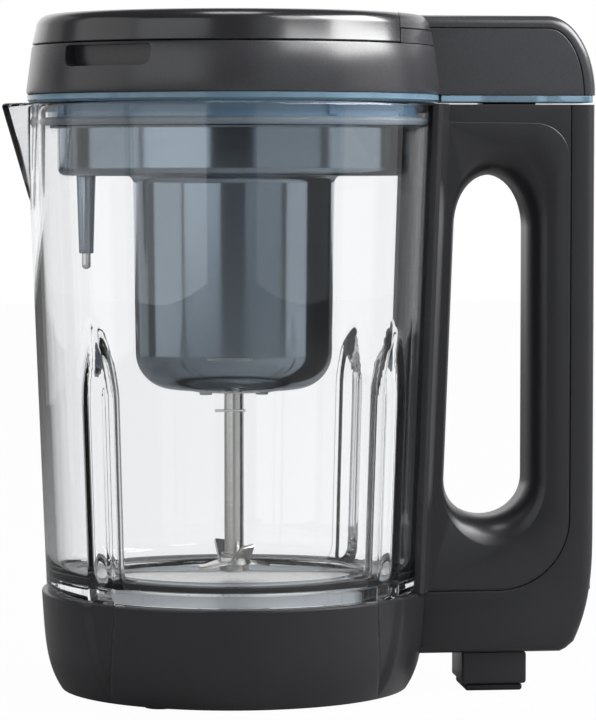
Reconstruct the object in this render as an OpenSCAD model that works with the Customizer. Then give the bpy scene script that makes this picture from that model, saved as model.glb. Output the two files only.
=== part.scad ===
// Countertop soup maker: a clear jug on a heated base, a handle with the mains
// inlet, and a lift-off lid that carries the motor, the blade and the buttons.
// Millimetres. The origin is on the jug's axis, at the surface that it stands
// on. +X points to the handle, -X to the spout, +Z up.

/* [Jug] */
// Height of the jug's rim above the surface it stands on
jug_rim_z = 244; // [200:1:300]
// Outer radius of the jug at its rim
jug_rim_r = 85.6; // [71:0.1:103]
// How much smaller the jug's outer radius is at its foot
jug_taper = 7.8; // [2:0.1:10]
// Thickness of the jug's wall
jug_wall = 4.6; // [3.5:0.1:5.6]
// Thickness of the jug's bottom flange
jug_floor_t = 5.5; // [4:0.1:7]
// How far the spout's tip stands out past the rim
spout_reach = 10.3; // [6:0.1:13]
// Height of the spout below the rim
spout_h = 41; // [30:1:50]
// Height of the four flow ribs above the jug's floor
rib_h = 99; // [60:1:120]
// Width of a flow rib
rib_w = 9; // [6:0.5:12]
// How far a flow rib stands in from the wall
rib_depth = 4.5; // [3:0.1:6]

/* [Base] */
// Height of the base housing's top edge
base_top_z = 43.3; // [38:0.1:52]
// How far the base housing stands out past the jug's foot
base_overhang = 2.1; // [1:0.1:4]
// Thickness of the base housing's wall
base_wall = 2.6; // [2:0.1:3.5]
// Visible radius of the heating plate
plate_r = 50; // [42:0.5:54]
// Radius of the heating element's ring
element_ring_r = 36; // [30:0.5:38]
// Radius of the heating element's tube
element_r = 3.2; // [2.5:0.1:4]
// Height of the rubber feet below the base
foot_h = 2.5; // [2:0.1:4]
// Radius of a rubber foot
foot_r = 7; // [5:0.5:9]

/* [Handle] */
// How far the handle's back stands out past the jug's rim
handle_reach = 63; // [55:0.5:76]
// Width of the handle across the grip
handle_w = 38; // [32:0.5:46]
// Thickness of the handle's walls
handle_wall = 2.6; // [2:0.1:3.5]
// Gap between the jug's rim and the finger hole, at the top of the hole
grip_inset = 4.9; // [4:0.1:8]
// Width of the finger hole
grip_w = 31; // [26:0.5:34]
// Height of the finger hole's lowest point
grip_low_z = 72.4; // [66:0.1:80]
// Depth of the handle's foot along X
heel_w = 27; // [20:0.5:32]

/* [Lid] */
// Height of the lid's lower band
band_h = 20.2; // [16:0.1:24]
// Height of the glossy top cover
cover_h = 12.5; // [11:0.1:16]
// Thickness of the lid's walls
lid_wall = 2.5; // [2:0.1:3]
// Thickness of the tray's flange, which rests on the jug
tray_t = 3; // [2:0.1:4]
// Depth of the tray's skirt below the jug's rim
skirt_h = 9.5; // [8:0.5:14]
// Radius of the control panel
panel_r = 45; // [40:0.5:50]
// Radius of a button
button_r = 6.5; // [5:0.1:8]
// Travel of a button
button_travel = 0.8; // [0.5:0.1:1]

/* [Motor and blade] */
// Outer radius of the motor housing's long neck
neck_r = 41.7; // [35:0.1:46]
// Length of the motor housing's neck
neck_h = 88; // [84:0.5:100]
// Height of the wide shroud above the neck
shroud_h = 20.5; // [18:0.5:26]
// Outer radius of the motor's stator
stator_r = 31; // [26:0.1:32]
// Length of the stator's laminated stack
stack_h = 34; // [28:0.5:36]
// Radius of the blade shaft
shaft_r = 4; // [3.3:0.1:4.8]
// Length of a blade's wing from the axis
blade_reach = 17; // [14:0.5:21]
// Height of the blade above the heating plate
blade_clear = 9.5; // [8:0.5:14]

/* [Hidden] */
$fn = 96;

// Clearances
move_gap = 0.3;     // between pieces of different bodies
run_gap = 0.04;     // radial, between the shaft and what it turns in
cut = 1;            // how far a cutter runs past the face it opens

// Colours
dark = [0.17, 0.17, 0.18];
piano = [0.10, 0.10, 0.11];
satin = [0.28, 0.28, 0.29];
steel = [0.75, 0.75, 0.76];
copper = [0.80, 0.47, 0.27];
clear_blue = [0.55, 0.68, 0.76, 0.7];

// Heights, from the table upwards
jug_foot_z = base_top_z;
jug_foot_r = jug_rim_r - jug_taper;
jug_floor_z = jug_foot_z + jug_floor_t;
tray_z = jug_rim_z + move_gap;
band_z = tray_z + tray_t;
cover_z = band_z + band_h;
lid_top_z = cover_z + cover_h;
skirt_z = tray_z - skirt_h;
neck_z = skirt_z - shroud_h;
neck_low_z = neck_z - neck_h;

// Outer and inner radius of the jug's wall at height z
function jug_r(z) =
  jug_foot_r + jug_taper * (z - jug_foot_z) / (jug_rim_z - jug_foot_z);
function jug_in_r(z) = jug_r(z) - jug_wall;

// Base: a draft angle plus a round that grows towards the bottom edge
base_top_r = jug_foot_r + base_overhang;
base_draft = 2.5;
base_round = 5.5;
base_h = base_top_z - foot_h;
function base_r(z) =
  let (t = (base_top_z - z) / base_h)
  base_top_r - base_draft * t - base_round * pow(t, 4.5);
cover_fit = 0.4;
base_cover_r = base_r(foot_h) - base_wall - cover_fit;
base_cover_t = 2.5;

// Heater stack under the jug
flange_in_r = plate_r + 3;
plate_t = 1.2;
plate_rim_r = plate_r + 10.5;
plate_rim_z = jug_foot_z - 2.5;      // underside of the plate's rim
plate_top_z = jug_foot_z + 0.5;      // top of the plate's raised middle
spreader_t = 3;
spreader_z = plate_top_z - plate_t - spreader_t;
shelf_t = 7;
shelf_z = base_top_z - shelf_t;
clamp_t = 2;
clamp_z = shelf_z - clamp_t;
clamp_r = plate_rim_r + 9.5;
clamp_screw_ring = plate_rim_r + 5.5;
thermostat_r = 7.8;
thermostat_pitch = 12;
thermostat_h = 6.6;
bracket_t = 1.2;
terminal_angle = 12;

// Feet and bottom screws
foot_ring_r = base_cover_r - 14;
foot_angles = [0, 128, 232];
boss_r = 4;
boss_ring_r = base_cover_r - boss_r - 0.6;
boss_angles = [45, 135, 225, 315];
boss_top_z = 28;
cup_h = 5;
board_posts = [38, 22];
board_h = 4;
screw_r = 1.75;
screw_head_r = 3.2;
screw_head_h = 2.2;

// Handle, drawn as an outline in X and Z that is then given its width
handle_low_z = 16.5;
handle_top_z = jug_rim_z - 0.5;
handle_back_x = jug_rim_r + handle_reach;
tuck_z = 70;                 // below this the back curves in
tuck = 10;
function handle_back(z) =
  handle_back_x - tuck * pow(max(0, (tuck_z - z) / (tuck_z - handle_low_z)), 3);
seam_in = 10.6;              // back cover's depth along X
seam_x = handle_back_x - seam_in;
seam_z = base_top_z - 0.7;
seam_round = 30;
saddle_half = 24;            // half angle of the saddle that hugs the jug
saddle_t = 4;
grip_left_x = jug_rim_r + grip_inset;
grip_right_x = grip_left_x + grip_w;
grip_slant = 4;
grip_top_z = jug_rim_z - 29.4;
grip_low_r = 16;
grip_arch = 22;
inner_x = jug_foot_r - 8;
cavity_x = grip_left_x + 1.5;
pillar_x = cavity_x + 6;
pillar_y = handle_w / 2 - handle_wall - boss_r + 0.4;
side_screw_y = 9;
side_screw_z = 24;
harness_r = 2.2;
harness_z = 30;
harness_x = handle_back_x - 22.2;
harness_port_r = 5;
heel_x = handle_back_x - 54.8;
heel_half_w = 15;
heel_pad_t = 3;

// Coupling between lid and handle
plug_x = handle_back_x - 34.6;
plug_size = [22, 16];
plug_h = 9.5;
plug_lip = 2;
plug_lip_t = 1.5;
socket_wall = 2;
socket_floor = 2.5;
contact_places = [for (x = [-5, 5], y = [-3.5, 3.5]) [x, y]];
contact_r = 1;
sleeve_wall = 0.6;

// Inlet in the handle's back
inlet_z = 52;
inlet_w = 27;
inlet_h = 20;
inlet_depth = 18;
inlet_lip = 2;
pin_pitch = 7;

// Lid, seen from above
band_low_r = jug_rim_r - 0.1;
band_top_r = jug_rim_r - 2.6;
cover_top_r = jug_rim_r - 4.3;
cover_round = 5.5;
chord_x = cover_top_r * cos(40);   // where the glossy cover ends
arm_cover_t = 5;
arm_corner_x = 20.3;
recess_angles = [133, 227];
recess_w = 44;
recess_h = 8.5;
recess_depth = 11;
recess_skin = 1.2;
skirt_r = jug_in_r(jug_rim_z) - 4.6;
skirt_t = 2.5;
skirt_tabs = [65, 155, 205, 295];
lid_screw_ring = skirt_r - 9.4;
lid_screw_angles = [90, 180, 270];
arm_screw_x = handle_back_x - 16;
arm_screw_y = handle_w / 2 - lid_wall - boss_r + 0.4;
shroud_r = skirt_r - 3.6;
tray_hole_r = 30;
rim_t = 1.2;
house_boss_h = 14;
lid_boss_h = 12;

// Panel and buttons
panel_t = 2;
panel_z = lid_top_z - 2.4;
ledge = 3;
button_x = -20;
button_pitch = 22;
button_proud = 1;
display_x = 14;
display_size = [18, 40];
board_t = 1.6;
board_z = panel_z - 9;
board_half = 37;
board_pin = 33.2;
switch_h = 2.5;
button_places = [[button_x, -button_pitch], [button_x, 0], [button_x, button_pitch]];

// Motor, stacked upwards from the neck's floor
house_wall = 2.5;
neck_round = 15;
neck_draft = 1;
bearing_r = 11;
bearing_h = 7;
seal_h = 6;
seal_r = shaft_r + 4;
plate_screw_x = 11.7;
seal_z = neck_low_z + house_wall;
bearing_z = seal_z + seal_h;
stator_z = bearing_z + bearing_h + 9;
air_gap = 0.6;
rotor_r = 16.4;
coil_h = 7;
coil_half_x = 15;
coil_side = 5;
coil_y = rotor_r + air_gap + 0.4;
coil_depth = 5.6;
commutator_r = 10;
commutator_z = stator_z + stack_h + coil_h + 2;
commutator_h = 12;
top_bearing_z = commutator_z + commutator_h + 3;
bracket_h = 3;
fan_z = top_bearing_z + bearing_h + 3.5;
fan_h = 8;
fan_r = stator_r - 3;
bolt_ring_r = stator_r - 3.2;
bolt_r = 1.6;
bracket_wall = 2.5;
probe_x = shroud_r - 11.8;
probe_r = 1.85;
sleeve_h = 32;
probe_h = 38.5;

// Blade
blade_z = plate_top_z + blade_clear;
blade_t = 1.4;
blade_hub_r = shaft_r + 3;
blade_w = 9;
nut_h = 3.6;
nut_r = shaft_r + 2.2;
shaft_low_z = blade_z - nut_h - 0.7;
collar_z = blade_z + 2 * blade_t;
collar_h = 1.8;

// ---------- shared shapes ----------

function reversed(list) = [for (i = [len(list) - 1 : -1 : 0]) list[i]];

module ring(r_out, r_in, h) {
  difference() {
    cylinder(r = r_out, h = h);
    translate([0, 0, -cut]) cylinder(r = r_in, h = h + 2 * cut);
  }
}

// A straight box centred on X and Y, standing on z = 0
module block(size) {
  translate([-size[0] / 2, -size[1] / 2, 0]) cube(size);
}

// A pan-head screw: its head's underside is at z = 0 and it points up
module screw(length, r = screw_r, head_r = screw_head_r, head_h = screw_head_h) {
  cylinder(r = r, h = length);
  difference() {
    translate([0, 0, -head_h]) cylinder(r = head_r, h = head_h);
    translate([0, 0, -head_h - cut]) cylinder(r = r * 0.7, h = cut + head_h / 2, $fn = 6);
  }
}

// Gives an outline drawn in X and Z its width along Y
module along_y(w) {
  translate([0, w / 2, 0]) rotate([90, 0, 0]) linear_extrude(height = w) children();
}

module polar(angles, r) {
  for (a = angles) rotate(a) translate([r, 0, 0]) children();
}

// A wedge in plan, from -half to +half degrees about +X
module wedge(half, r, h) {
  linear_extrude(height = h)
    polygon([[0, 0], [r, -r * tan(half)], [r, r * tan(half)]]);
}

// ---------- envelopes that neighbours are cut to ----------

module jug_envelope(grow = 0) {
  h = jug_rim_z - jug_foot_z;
  translate([0, 0, jug_foot_z]) cylinder(r1 = jug_foot_r + grow, r2 = jug_rim_r + grow, h = h);
}

base_steps = 16;
function base_outline(inset, z0, z1) = [
  for (i = [0 : base_steps])
    let (z = z0 + (z1 - z0) * i / base_steps) [base_r(z) - inset, z]
];

module base_envelope() {
  rotate_extrude()
    polygon(concat([[0, foot_h]], base_outline(0, foot_h, base_top_z), [[0, base_top_z]]));
}

// ---------- jug ----------

module jug() {
  color([0.85, 0.92, 0.95, 0.35]) {
    difference() {
      union() {
        jug_envelope();
        spout_cone(0);
      }
      translate([0, 0, jug_floor_z])
        cylinder(r1 = jug_in_r(jug_floor_z), r2 = jug_in_r(jug_rim_z + cut),
                 h = jug_rim_z + cut - jug_floor_z);
      spout_cone(3);
      translate([0, 0, jug_foot_z - cut]) cylinder(r = flange_in_r, h = jug_floor_t + 2 * cut);
    }
    polar([45, 135, 225, 315], 0) flow_rib();
  }
}

// The spout is a cone that leans out of the wall; inset makes the inner one
module spout_cone(inset) {
  tip = jug_rim_r + spout_reach;
  r_top = spout_reach + 3.7;
  h = spout_h + (inset > 0 ? cut : 0);
  translate([r_top - tip, 0, jug_rim_z - spout_h])
    cylinder(r1 = 2.4 - inset * 0.6, r2 = r_top - inset, h = h);
}

module flow_rib() {
  top = jug_floor_z + rib_h;
  intersection() {
    along_y(rib_w)
      polygon([[jug_in_r(jug_floor_z) - 2 * rib_depth, jug_floor_z - 0.5],
               [jug_in_r(jug_floor_z + 12) - rib_depth, jug_floor_z + 12],
               [jug_in_r(top) - rib_depth, top - 8],
               [jug_in_r(top) + 1, top],
               [jug_rim_r, jug_floor_z - 0.5]]);
    jug_envelope(-jug_wall / 2);
  }
}

// ---------- heater stack ----------

module plate_seal() {
  rim_top = plate_rim_z + plate_t;
  color([0.86, 0.86, 0.84]) {
    translate([0, 0, rim_top]) ring(plate_rim_r, plate_r + 1, jug_foot_z - rim_top);
    translate([0, 0, jug_foot_z]) ring(flange_in_r, plate_r + 1, jug_floor_t * 0.6);
  }
}

module heating_plate() {
  color(steel)
    rotate_extrude()
      polygon([[0, plate_top_z - plate_t], [plate_r - 2, plate_top_z - plate_t],
               [plate_r - 0.6, plate_rim_z], [plate_rim_r, plate_rim_z],
               [plate_rim_r, plate_rim_z + plate_t], [plate_r + 0.6, plate_rim_z + plate_t],
               [plate_r - 0.8, plate_top_z], [0, plate_top_z]]);
}

module heat_spreader() {
  color([0.78, 0.79, 0.80])
    translate([0, 0, spreader_z]) cylinder(r = plate_r - 4, h = spreader_t);
}

// A ring of tube; its two ends turn down side by side to the terminals
module heating_element() {
  z = spreader_z - element_r;
  color([0.55, 0.53, 0.50]) {
    translate([0, 0, z]) rotate_extrude() translate([element_ring_r, 0]) circle(r = element_r, $fn = 12);
    polar([-terminal_angle, terminal_angle], element_ring_r) {
      translate([0, 0, z - 14]) cylinder(r = element_r * 0.75, h = 14);
      translate([0, 0, z - 20]) cylinder(r = 1.2, h = 7);
    }
  }
}

module thermostats() {
  color([0.90, 0.88, 0.80])
    for (side = [-1, 1]) translate([side * thermostat_pitch, 0, spreader_z - thermostat_h]) {
      cylinder(r = thermostat_r, h = thermostat_h);
      for (tab = [-1, 1]) translate([0, tab * 10, 2]) block([4, 7, 0.8]);
    }
}

module thermostat_bracket() {
  half = thermostat_pitch + thermostat_r + 2;
  z = spreader_z - thermostat_h - bracket_t;
  color(steel) {
    translate([0, 0, z]) block([2 * half, 10, bracket_t]);
    for (side = [-1, 1])
      translate([side * (half - bracket_t / 2), 0, z]) block([bracket_t, 10, spreader_z - z]);
  }
}

module clamp_ring() {
  color([0.62, 0.63, 0.64]) difference() {
    union() {
      translate([0, 0, clamp_z]) ring(plate_rim_r, plate_r + 3, plate_rim_z - clamp_z);
      translate([0, 0, clamp_z]) ring(clamp_r, plate_r + 3, clamp_t);
    }
    polar([for (i = [0 : 5]) 30 + 60 * i], clamp_screw_ring)
      translate([0, 0, clamp_z - cut]) cylinder(r = screw_r, h = clamp_t + 2 * cut);
  }
}

module clamp_screws() {
  color(steel)
    polar([for (i = [0 : 5]) 30 + 60 * i], clamp_screw_ring)
      translate([0, 0, clamp_z]) screw(clamp_t + shelf_t - 1.5);
}

// ---------- base ----------

module harness_port() {
  translate([inner_x - 4, 0, harness_z]) rotate([0, 90, 0])
    cylinder(r = harness_port_r, h = cavity_x - inner_x + 6);
}

module side_screw_places() {
  for (side = [-1, 1]) translate([cavity_x, side * side_screw_y, side_screw_z]) rotate([0, -90, 0])
    children();
}

module base_housing() {
  shelf_in_r = plate_rim_r + 1.5;
  lip_z = foot_h + base_cover_t;
  lip_r = base_cover_r + cover_fit;
  color(dark) difference() {
    union() {
      rotate_extrude()
        polygon(concat(base_outline(0, foot_h, base_top_z),
                       [[shelf_in_r, base_top_z], [shelf_in_r, shelf_z]],
                       reversed(base_outline(base_wall, lip_z, shelf_z)),
                       [[lip_r, lip_z], [lip_r, foot_h]]));
      polar(boss_angles, boss_ring_r) translate([0, 0, foot_h + cup_h]) {
        cylinder(r = boss_r, h = boss_top_z - foot_h - cup_h);
        translate([0, -1.5, 0])
          cube([base_r(lip_z) - 1.2 - boss_ring_r, 3, boss_top_z - foot_h - cup_h]);
      }
    }
    polar([for (i = [0 : 5]) 30 + 60 * i], clamp_screw_ring)
      translate([0, 0, shelf_z - cut]) cylinder(r = screw_r, h = shelf_t - 1.5 + cut);
    polar(boss_angles, boss_ring_r) translate([0, 0, foot_h]) cylinder(r = screw_r, h = 18);
    harness_port();
    side_screw_places() cylinder(r = screw_r, h = cavity_x - base_top_r + 8);
  }
}

module base_cover() {
  color(dark) difference() {
    union() {
      translate([0, 0, foot_h]) cylinder(r = base_cover_r, h = base_cover_t);
      polar(boss_angles, boss_ring_r) translate([0, 0, foot_h]) cylinder(r = boss_r, h = cup_h);
      board_corners() translate([0, 0, foot_h]) cylinder(r = 3, h = base_cover_t + board_h);
      board_corners() translate([0, 0, foot_h]) cylinder(r = 1.2, h = base_cover_t + board_h + 3);
    }
    polar(boss_angles, boss_ring_r) translate([0, 0, foot_h - cut]) {
      cylinder(r = screw_r, h = cup_h + 2 * cut);
      cylinder(r = screw_head_r + 0.2, h = screw_head_h + 0.4 + cut);
    }
    polar(foot_angles, foot_ring_r)
      translate([0, 0, foot_h - cut]) cylinder(r = foot_r / 2, h = base_cover_t + 2 * cut);
  }
}

module base_screws() {
  color(steel)
    polar(boss_angles, boss_ring_r)
      translate([0, 0, foot_h + screw_head_h + 0.4]) screw(14);
}

// Each foot has a stem that is pushed through the cover and holds by its head
module base_feet() {
  color([0.12, 0.12, 0.12])
    polar(foot_angles, foot_ring_r) {
      cylinder(r1 = foot_r - 0.6, r2 = foot_r, h = foot_h);
      cylinder(r = foot_r / 2, h = foot_h + base_cover_t);
      translate([0, 0, foot_h + base_cover_t]) cylinder(r1 = foot_r / 2 + 1, r2 = foot_r / 2 - 1, h = 2);
    }
}

module board_corners() {
  for (x = [-1, 1], y = [-1, 1])
    translate([x * board_posts[0], y * board_posts[1], 0]) children();
}

module power_board() {
  top = foot_h + base_cover_t + board_h + board_t;
  color([0.15, 0.38, 0.22]) difference() {
    translate([0, 0, top - board_t])
      block([2 * board_posts[0] + 10, 2 * board_posts[1] + 10, board_t]);
    board_corners() translate([0, 0, top - board_t - cut]) cylinder(r = 1.3, h = board_t + 2 * cut);
  }
  color([0.20, 0.35, 0.60]) translate([-26, 12, top]) block([19, 15, 13]);
  color([0.75, 0.70, 0.30]) translate([-22, -10, top]) block([20, 18, 12]);
  color([0.20, 0.20, 0.22]) {
    translate([4, 15, top]) cylinder(r = 5, h = 12);
    translate([2, -14, top]) block([16, 9, 11]);
    translate([27, 0, top]) block([9, 24, 5]);
  }
}

// ---------- handle ----------

steps = 10;
function arc(cx, cz, rx, rz, a0, a1) =
  [for (i = [0 : steps]) let (a = a0 + (a1 - a0) * i / steps) [cx + rx * cos(a), cz + rz * sin(a)]];

// Outline of the whole handle, drawn in by d
function handle_outline(d) = concat(
  [[inner_x, handle_low_z + d], [handle_back(handle_low_z) - 4, handle_low_z + d]],
  [for (i = [0 : steps]) let (z = handle_low_z + 4 + (tuck_z - handle_low_z - 4) * i / steps)
    [handle_back(z) - d, z]],
  [[handle_back_x - d, handle_top_z - d], [inner_x, handle_top_z - d]]);

// The part of it that the shell takes; the rest is the back cover's
function shell_outline() = concat(
  [[inner_x, seam_z]],
  arc(seam_x - seam_round, seam_z + seam_round, seam_round, seam_round, 270, 360),
  [[seam_x, handle_top_z], [inner_x, handle_top_z]]);

// Finger hole, grown by d: a round end below, a taller arch above
function grip_outline(d) = concat(
  arc((grip_left_x - grip_slant + grip_right_x) / 2, grip_low_z + grip_low_r,
      (grip_right_x - grip_left_x + grip_slant) / 2 + d, grip_low_r + d, 180, 360),
  arc((grip_left_x + grip_right_x) / 2, grip_top_z - grip_arch,
      (grip_right_x - grip_left_x) / 2 + d, grip_arch + d, 0, 180));

module handle_cavity() {
  along_y(handle_w - 2 * handle_wall) difference() {
    intersection() {
      polygon(handle_outline(handle_wall));
      translate([cavity_x, 0]) square([handle_reach * 2, jug_rim_z]);
    }
    polygon(grip_outline(handle_wall));
  }
}

module handle_cutters() {
  jug_envelope();
  base_envelope();
  translate([0, 0, base_top_z - cut]) cylinder(r = jug_foot_r - 0.5, h = 2 * cut);
  handle_cavity();
  along_y(handle_w + 2 * cut) polygon(grip_outline(0));
}

module pillars(z0, z1, r) {
  for (side = [-1, 1]) translate([pillar_x, side * pillar_y, z0]) cylinder(r = r, h = z1 - z0);
}

module socket_hole() {
  translate([plug_x, 0, handle_top_z - handle_wall - cut])
    block([socket_outer[0], socket_outer[1], handle_wall + 2 * cut]);
}

// Flanks of the shell that hug the jug's wall on both sides of the grip
module saddle() {
  intersection() {
    jug_envelope(saddle_t);
    translate([0, 0, base_top_z]) wedge(saddle_half, jug_rim_r + 2 * saddle_t, handle_top_z - base_top_z);
  }
}

module handle_shell() {
  color(dark) {
    difference() {
      union() {
        along_y(handle_w) polygon(shell_outline());
        saddle();
      }
      handle_cutters();
      socket_hole();
    }
    difference() {
      pillars(seam_z, seam_z + 14, boss_r);
      pillars(seam_z - cut, seam_z + 12, screw_r);
    }
  }
}

module handle_back_cover() {
  color(dark) {
    difference() {
      along_y(handle_w) difference() {
        polygon(handle_outline(0));
        polygon(shell_outline());
      }
      handle_cutters();
      translate([handle_back_x, 0, inlet_z - inlet_h / 2 - 0.2])
        block([4 * handle_wall, inlet_w + 0.4, inlet_h + 0.4]);
      pillars(handle_low_z - cut, seam_z - 3, screw_head_r + 0.2);
      harness_port();
      side_screw_places() translate([0, 0, -cut]) cylinder(r = screw_r, h = cavity_x - inner_x);
    }
    difference() {
      pillars(handle_low_z, seam_z, boss_r);
      pillars(handle_low_z - cut, seam_z - 3, screw_head_r + 0.2);
      pillars(handle_low_z, seam_z + cut, screw_r);
    }
  }
}

module handle_screws() {
  color(steel) {
    for (side = [-1, 1]) translate([pillar_x, side * pillar_y, seam_z - 3]) screw(14);
    side_screw_places() screw(cavity_x - base_top_r + 5);
  }
}

module handle_heel() {
  wall = handle_wall;
  color(dark) translate([heel_x + heel_w / 2, 0, heel_pad_t]) difference() {
    block([heel_w, 2 * heel_half_w, handle_low_z - heel_pad_t]);
    translate([0, 0, wall])
      block([heel_w - 2 * wall, 2 * (heel_half_w - wall), handle_low_z - heel_pad_t]);
  }
}

module heel_pad() {
  color([0.12, 0.12, 0.12]) translate([heel_x + heel_w / 2, 0, 0])
    block([heel_w - 3, 2 * heel_half_w - 3, heel_pad_t]);
}

// Wires from the base up the inside of the grip to the lid's socket
module handle_harness() {
  top = handle_top_z - plug_h - socket_floor - 8;
  color([0.55, 0.12, 0.10]) {
    wire([inner_x - 2, 0, harness_z], [harness_x, 0, harness_z]);
    wire([harness_x, 0, harness_z], [harness_x, 0, top]);
    wire([harness_x, 0, top], [plug_x, 0, top]);
    wire([plug_x, 0, top], [plug_x, 0, top + 7]);
  }
}

// One straight run of wire along X or along Z, with round ends
module wire(from, to) {
  run = to - from;
  translate(from) {
    sphere(r = harness_r, $fn = 32);
    rotate([0, run[0] == 0 ? 0 : 90 * sign(run[0]), 0]) cylinder(r = harness_r, h = norm(run), $fn = 32);
  }
}

// ---------- coupling between handle and lid ----------

socket_outer = [for (s = plug_size) s + 2 * (move_gap + socket_wall)];
socket_z = tray_z - plug_h - move_gap - socket_floor;

module lid_socket() {
  lip_z = handle_top_z - handle_wall - 1.5;
  color([0.13, 0.13, 0.14]) difference() {
    union() {
      translate([plug_x, 0, socket_z]) block([socket_outer[0], socket_outer[1], handle_top_z - socket_z]);
      translate([plug_x, 0, lip_z]) block([socket_outer[0] + 3, socket_outer[1] + 3, 1.5]);
    }
    translate([plug_x, 0, socket_z + socket_floor])
      block([plug_size[0] + 2 * move_gap, plug_size[1] + 2 * move_gap, plug_h + 2 * cut]);
    contacts_at(socket_z - cut) cylinder(r = contact_r, h = socket_floor + 2 * cut);
  }
}

module contacts_at(z) {
  for (p = contact_places) translate([plug_x + p[0], p[1], z]) children();
}

module socket_contacts() {
  color([0.85, 0.70, 0.35]) contacts_at(socket_z - 2) cylinder(r = contact_r, h = socket_floor + 2 + plug_h * 0.7);
}

module lid_plug() {
  color([0.13, 0.13, 0.14]) difference() {
    union() {
      translate([plug_x, 0, tray_z - plug_h]) block([plug_size[0], plug_size[1], plug_h + tray_t]);
      translate([plug_x, 0, band_z]) block([plug_size[0] + 2 * plug_lip, plug_size[1] + 2 * plug_lip, plug_lip_t]);
    }
    contacts_at(tray_z - plug_h - cut)
      cylinder(r = contact_r + move_gap + sleeve_wall, h = plug_h + tray_t + plug_lip_t + 2 * cut);
  }
}

module plug_contacts() {
  color([0.85, 0.70, 0.35]) contacts_at(tray_z - plug_h)
    ring(contact_r + move_gap + sleeve_wall, contact_r + move_gap, plug_h + tray_t + plug_lip_t + 2);
}

// ---------- inlet ----------

module power_inlet() {
  back = handle_back(inlet_z) - 0.4;
  color([0.11, 0.11, 0.12]) difference() {
    translate([back - inlet_depth / 2, 0, inlet_z - inlet_h / 2]) block([inlet_depth, inlet_w, inlet_h]);
    translate([back - inlet_depth / 2 + 2.5, 0, inlet_z - inlet_h / 2 + inlet_lip])
      block([inlet_depth, inlet_w - 2 * inlet_lip, inlet_h - 2 * inlet_lip]);
    inlet_pin_places(back) translate([-cut, -1, -2]) cube([inlet_depth, 2, 4]);
  }
}

module inlet_pin_places(back) {
  for (i = [-1, 0, 1])
    translate([back - inlet_depth, i * pin_pitch, inlet_z + (i == 0 ? 2 : -2)]) children();
}

module inlet_pins() {
  color(steel)
    inlet_pin_places(handle_back(inlet_z) - 0.4) translate([-1, -1, -2]) cube([inlet_depth - 3, 2, 4]);
}

// ---------- lid ----------

// Outline of the arm over the handle, in X and Z, drawn in by d
function arm_outline(d) = concat(
  [[chord_x, band_z]],
  arc(handle_back_x - arm_corner_x, band_z, arm_corner_x - d, lid_top_z - band_z - d, 0, 90),
  [[chord_x, lid_top_z - d]]);

module arm_cavity(d) {
  along_y(handle_w - 2 * lid_wall) polygon(arm_outline(d));
}

// Keeps what lies on the handle's side of the chord, or on the other side
module beyond_chord(side = 1) {
  span = 2 * jug_rim_r;
  intersection() {
    children();
    translate([side > 0 ? chord_x : chord_x - span, -span / 2, band_z - cut])
      cube([span, span, lid_top_z - band_z + 2 * cut]);
  }
}

module grip_recess(skin) {
  polar(recess_angles, band_low_r - recess_depth - skin)
    translate([0, -recess_w / 2 - skin, cover_z - recess_skin - recess_h - skin])
      cube([recess_depth + 2 * cut + skin, recess_w + 2 * skin, recess_h + skin]);
}

module band_envelope(inset = 0) {
  translate([0, 0, band_z - (inset > 0 ? cut : 0)])
    cylinder(r1 = band_low_r - inset, r2 = band_top_r - inset, h = band_h + (inset > 0 ? 2 * cut : 0));
}

module lid_body() {
  rear_h = cover_h - arm_cover_t;
  color(satin) difference() {
    union() {
      difference() {
        band_envelope();
        band_envelope(lid_wall);
      }
      intersection() {
        band_envelope();
        union() {
          grip_recess(lid_wall);
          polar(recess_angles, band_low_r - recess_depth - lid_wall)
            translate([0, -recess_w / 2 - lid_wall, cover_z - recess_skin])
              cube([recess_depth + lid_wall, recess_w + 2 * lid_wall, recess_skin]);
        }
      }
      beyond_chord() translate([0, 0, cover_z]) difference() {
        cylinder(r1 = band_top_r, r2 = cover_top_r, h = rear_h);
        translate([lid_wall, 0, -cut])
          intersection() {
            translate([-lid_wall, 0, 0]) cylinder(r = cover_top_r - lid_wall, h = rear_h + 2 * cut);
            translate([chord_x, -jug_rim_r, 0]) cube([jug_rim_r, 2 * jug_rim_r, rear_h + 2 * cut]);
          }
      }
      along_y(handle_w) polygon(arm_outline(arm_cover_t));
      polar(lid_screw_angles, lid_screw_ring) translate([0, -1.5, band_z])
        cube([band_top_r - lid_wall / 2 - lid_screw_ring, 3, lid_boss_h]);
      lid_screw_places(band_z) cylinder(r = boss_r, h = lid_boss_h);
    }
    difference() {
      arm_cavity(arm_cover_t - cut);
      lid_screw_places(band_z) cylinder(r = boss_r, h = lid_boss_h);
      translate([chord_x, -handle_w / 2, cover_z - cut]) cube([lid_wall, handle_w, cover_h]);
    }
    grip_recess(0);
    lid_screw_places(band_z - cut) cylinder(r = screw_r, h = lid_boss_h - 1);
  }
}

// Three screws around the lid and two in the arm
module lid_screw_places(z) {
  polar(lid_screw_angles, lid_screw_ring) translate([0, 0, z]) children();
  for (side = [-1, 1]) translate([arm_screw_x, side * arm_screw_y, z]) children();
}

module arm_cover() {
  z = lid_top_z - arm_cover_t;
  color(satin) difference() {
    union() {
      difference() {
        along_y(handle_w) polygon(arm_outline(0));
        along_y(handle_w + 2 * cut) polygon(arm_outline(arm_cover_t));
      }
      beyond_chord() translate([0, 0, z]) cover_cap();
    }
    arm_cavity(lid_wall);
    beyond_chord() translate([lid_wall, 0, z - cut])
      intersection() {
        translate([-lid_wall, 0, 0]) cylinder(r = cover_top_r - cover_round, h = arm_cover_t - lid_wall + cut);
        translate([chord_x, -jug_rim_r, 0]) cube([jug_rim_r, 2 * jug_rim_r, arm_cover_t]);
      }
  }
}

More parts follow.
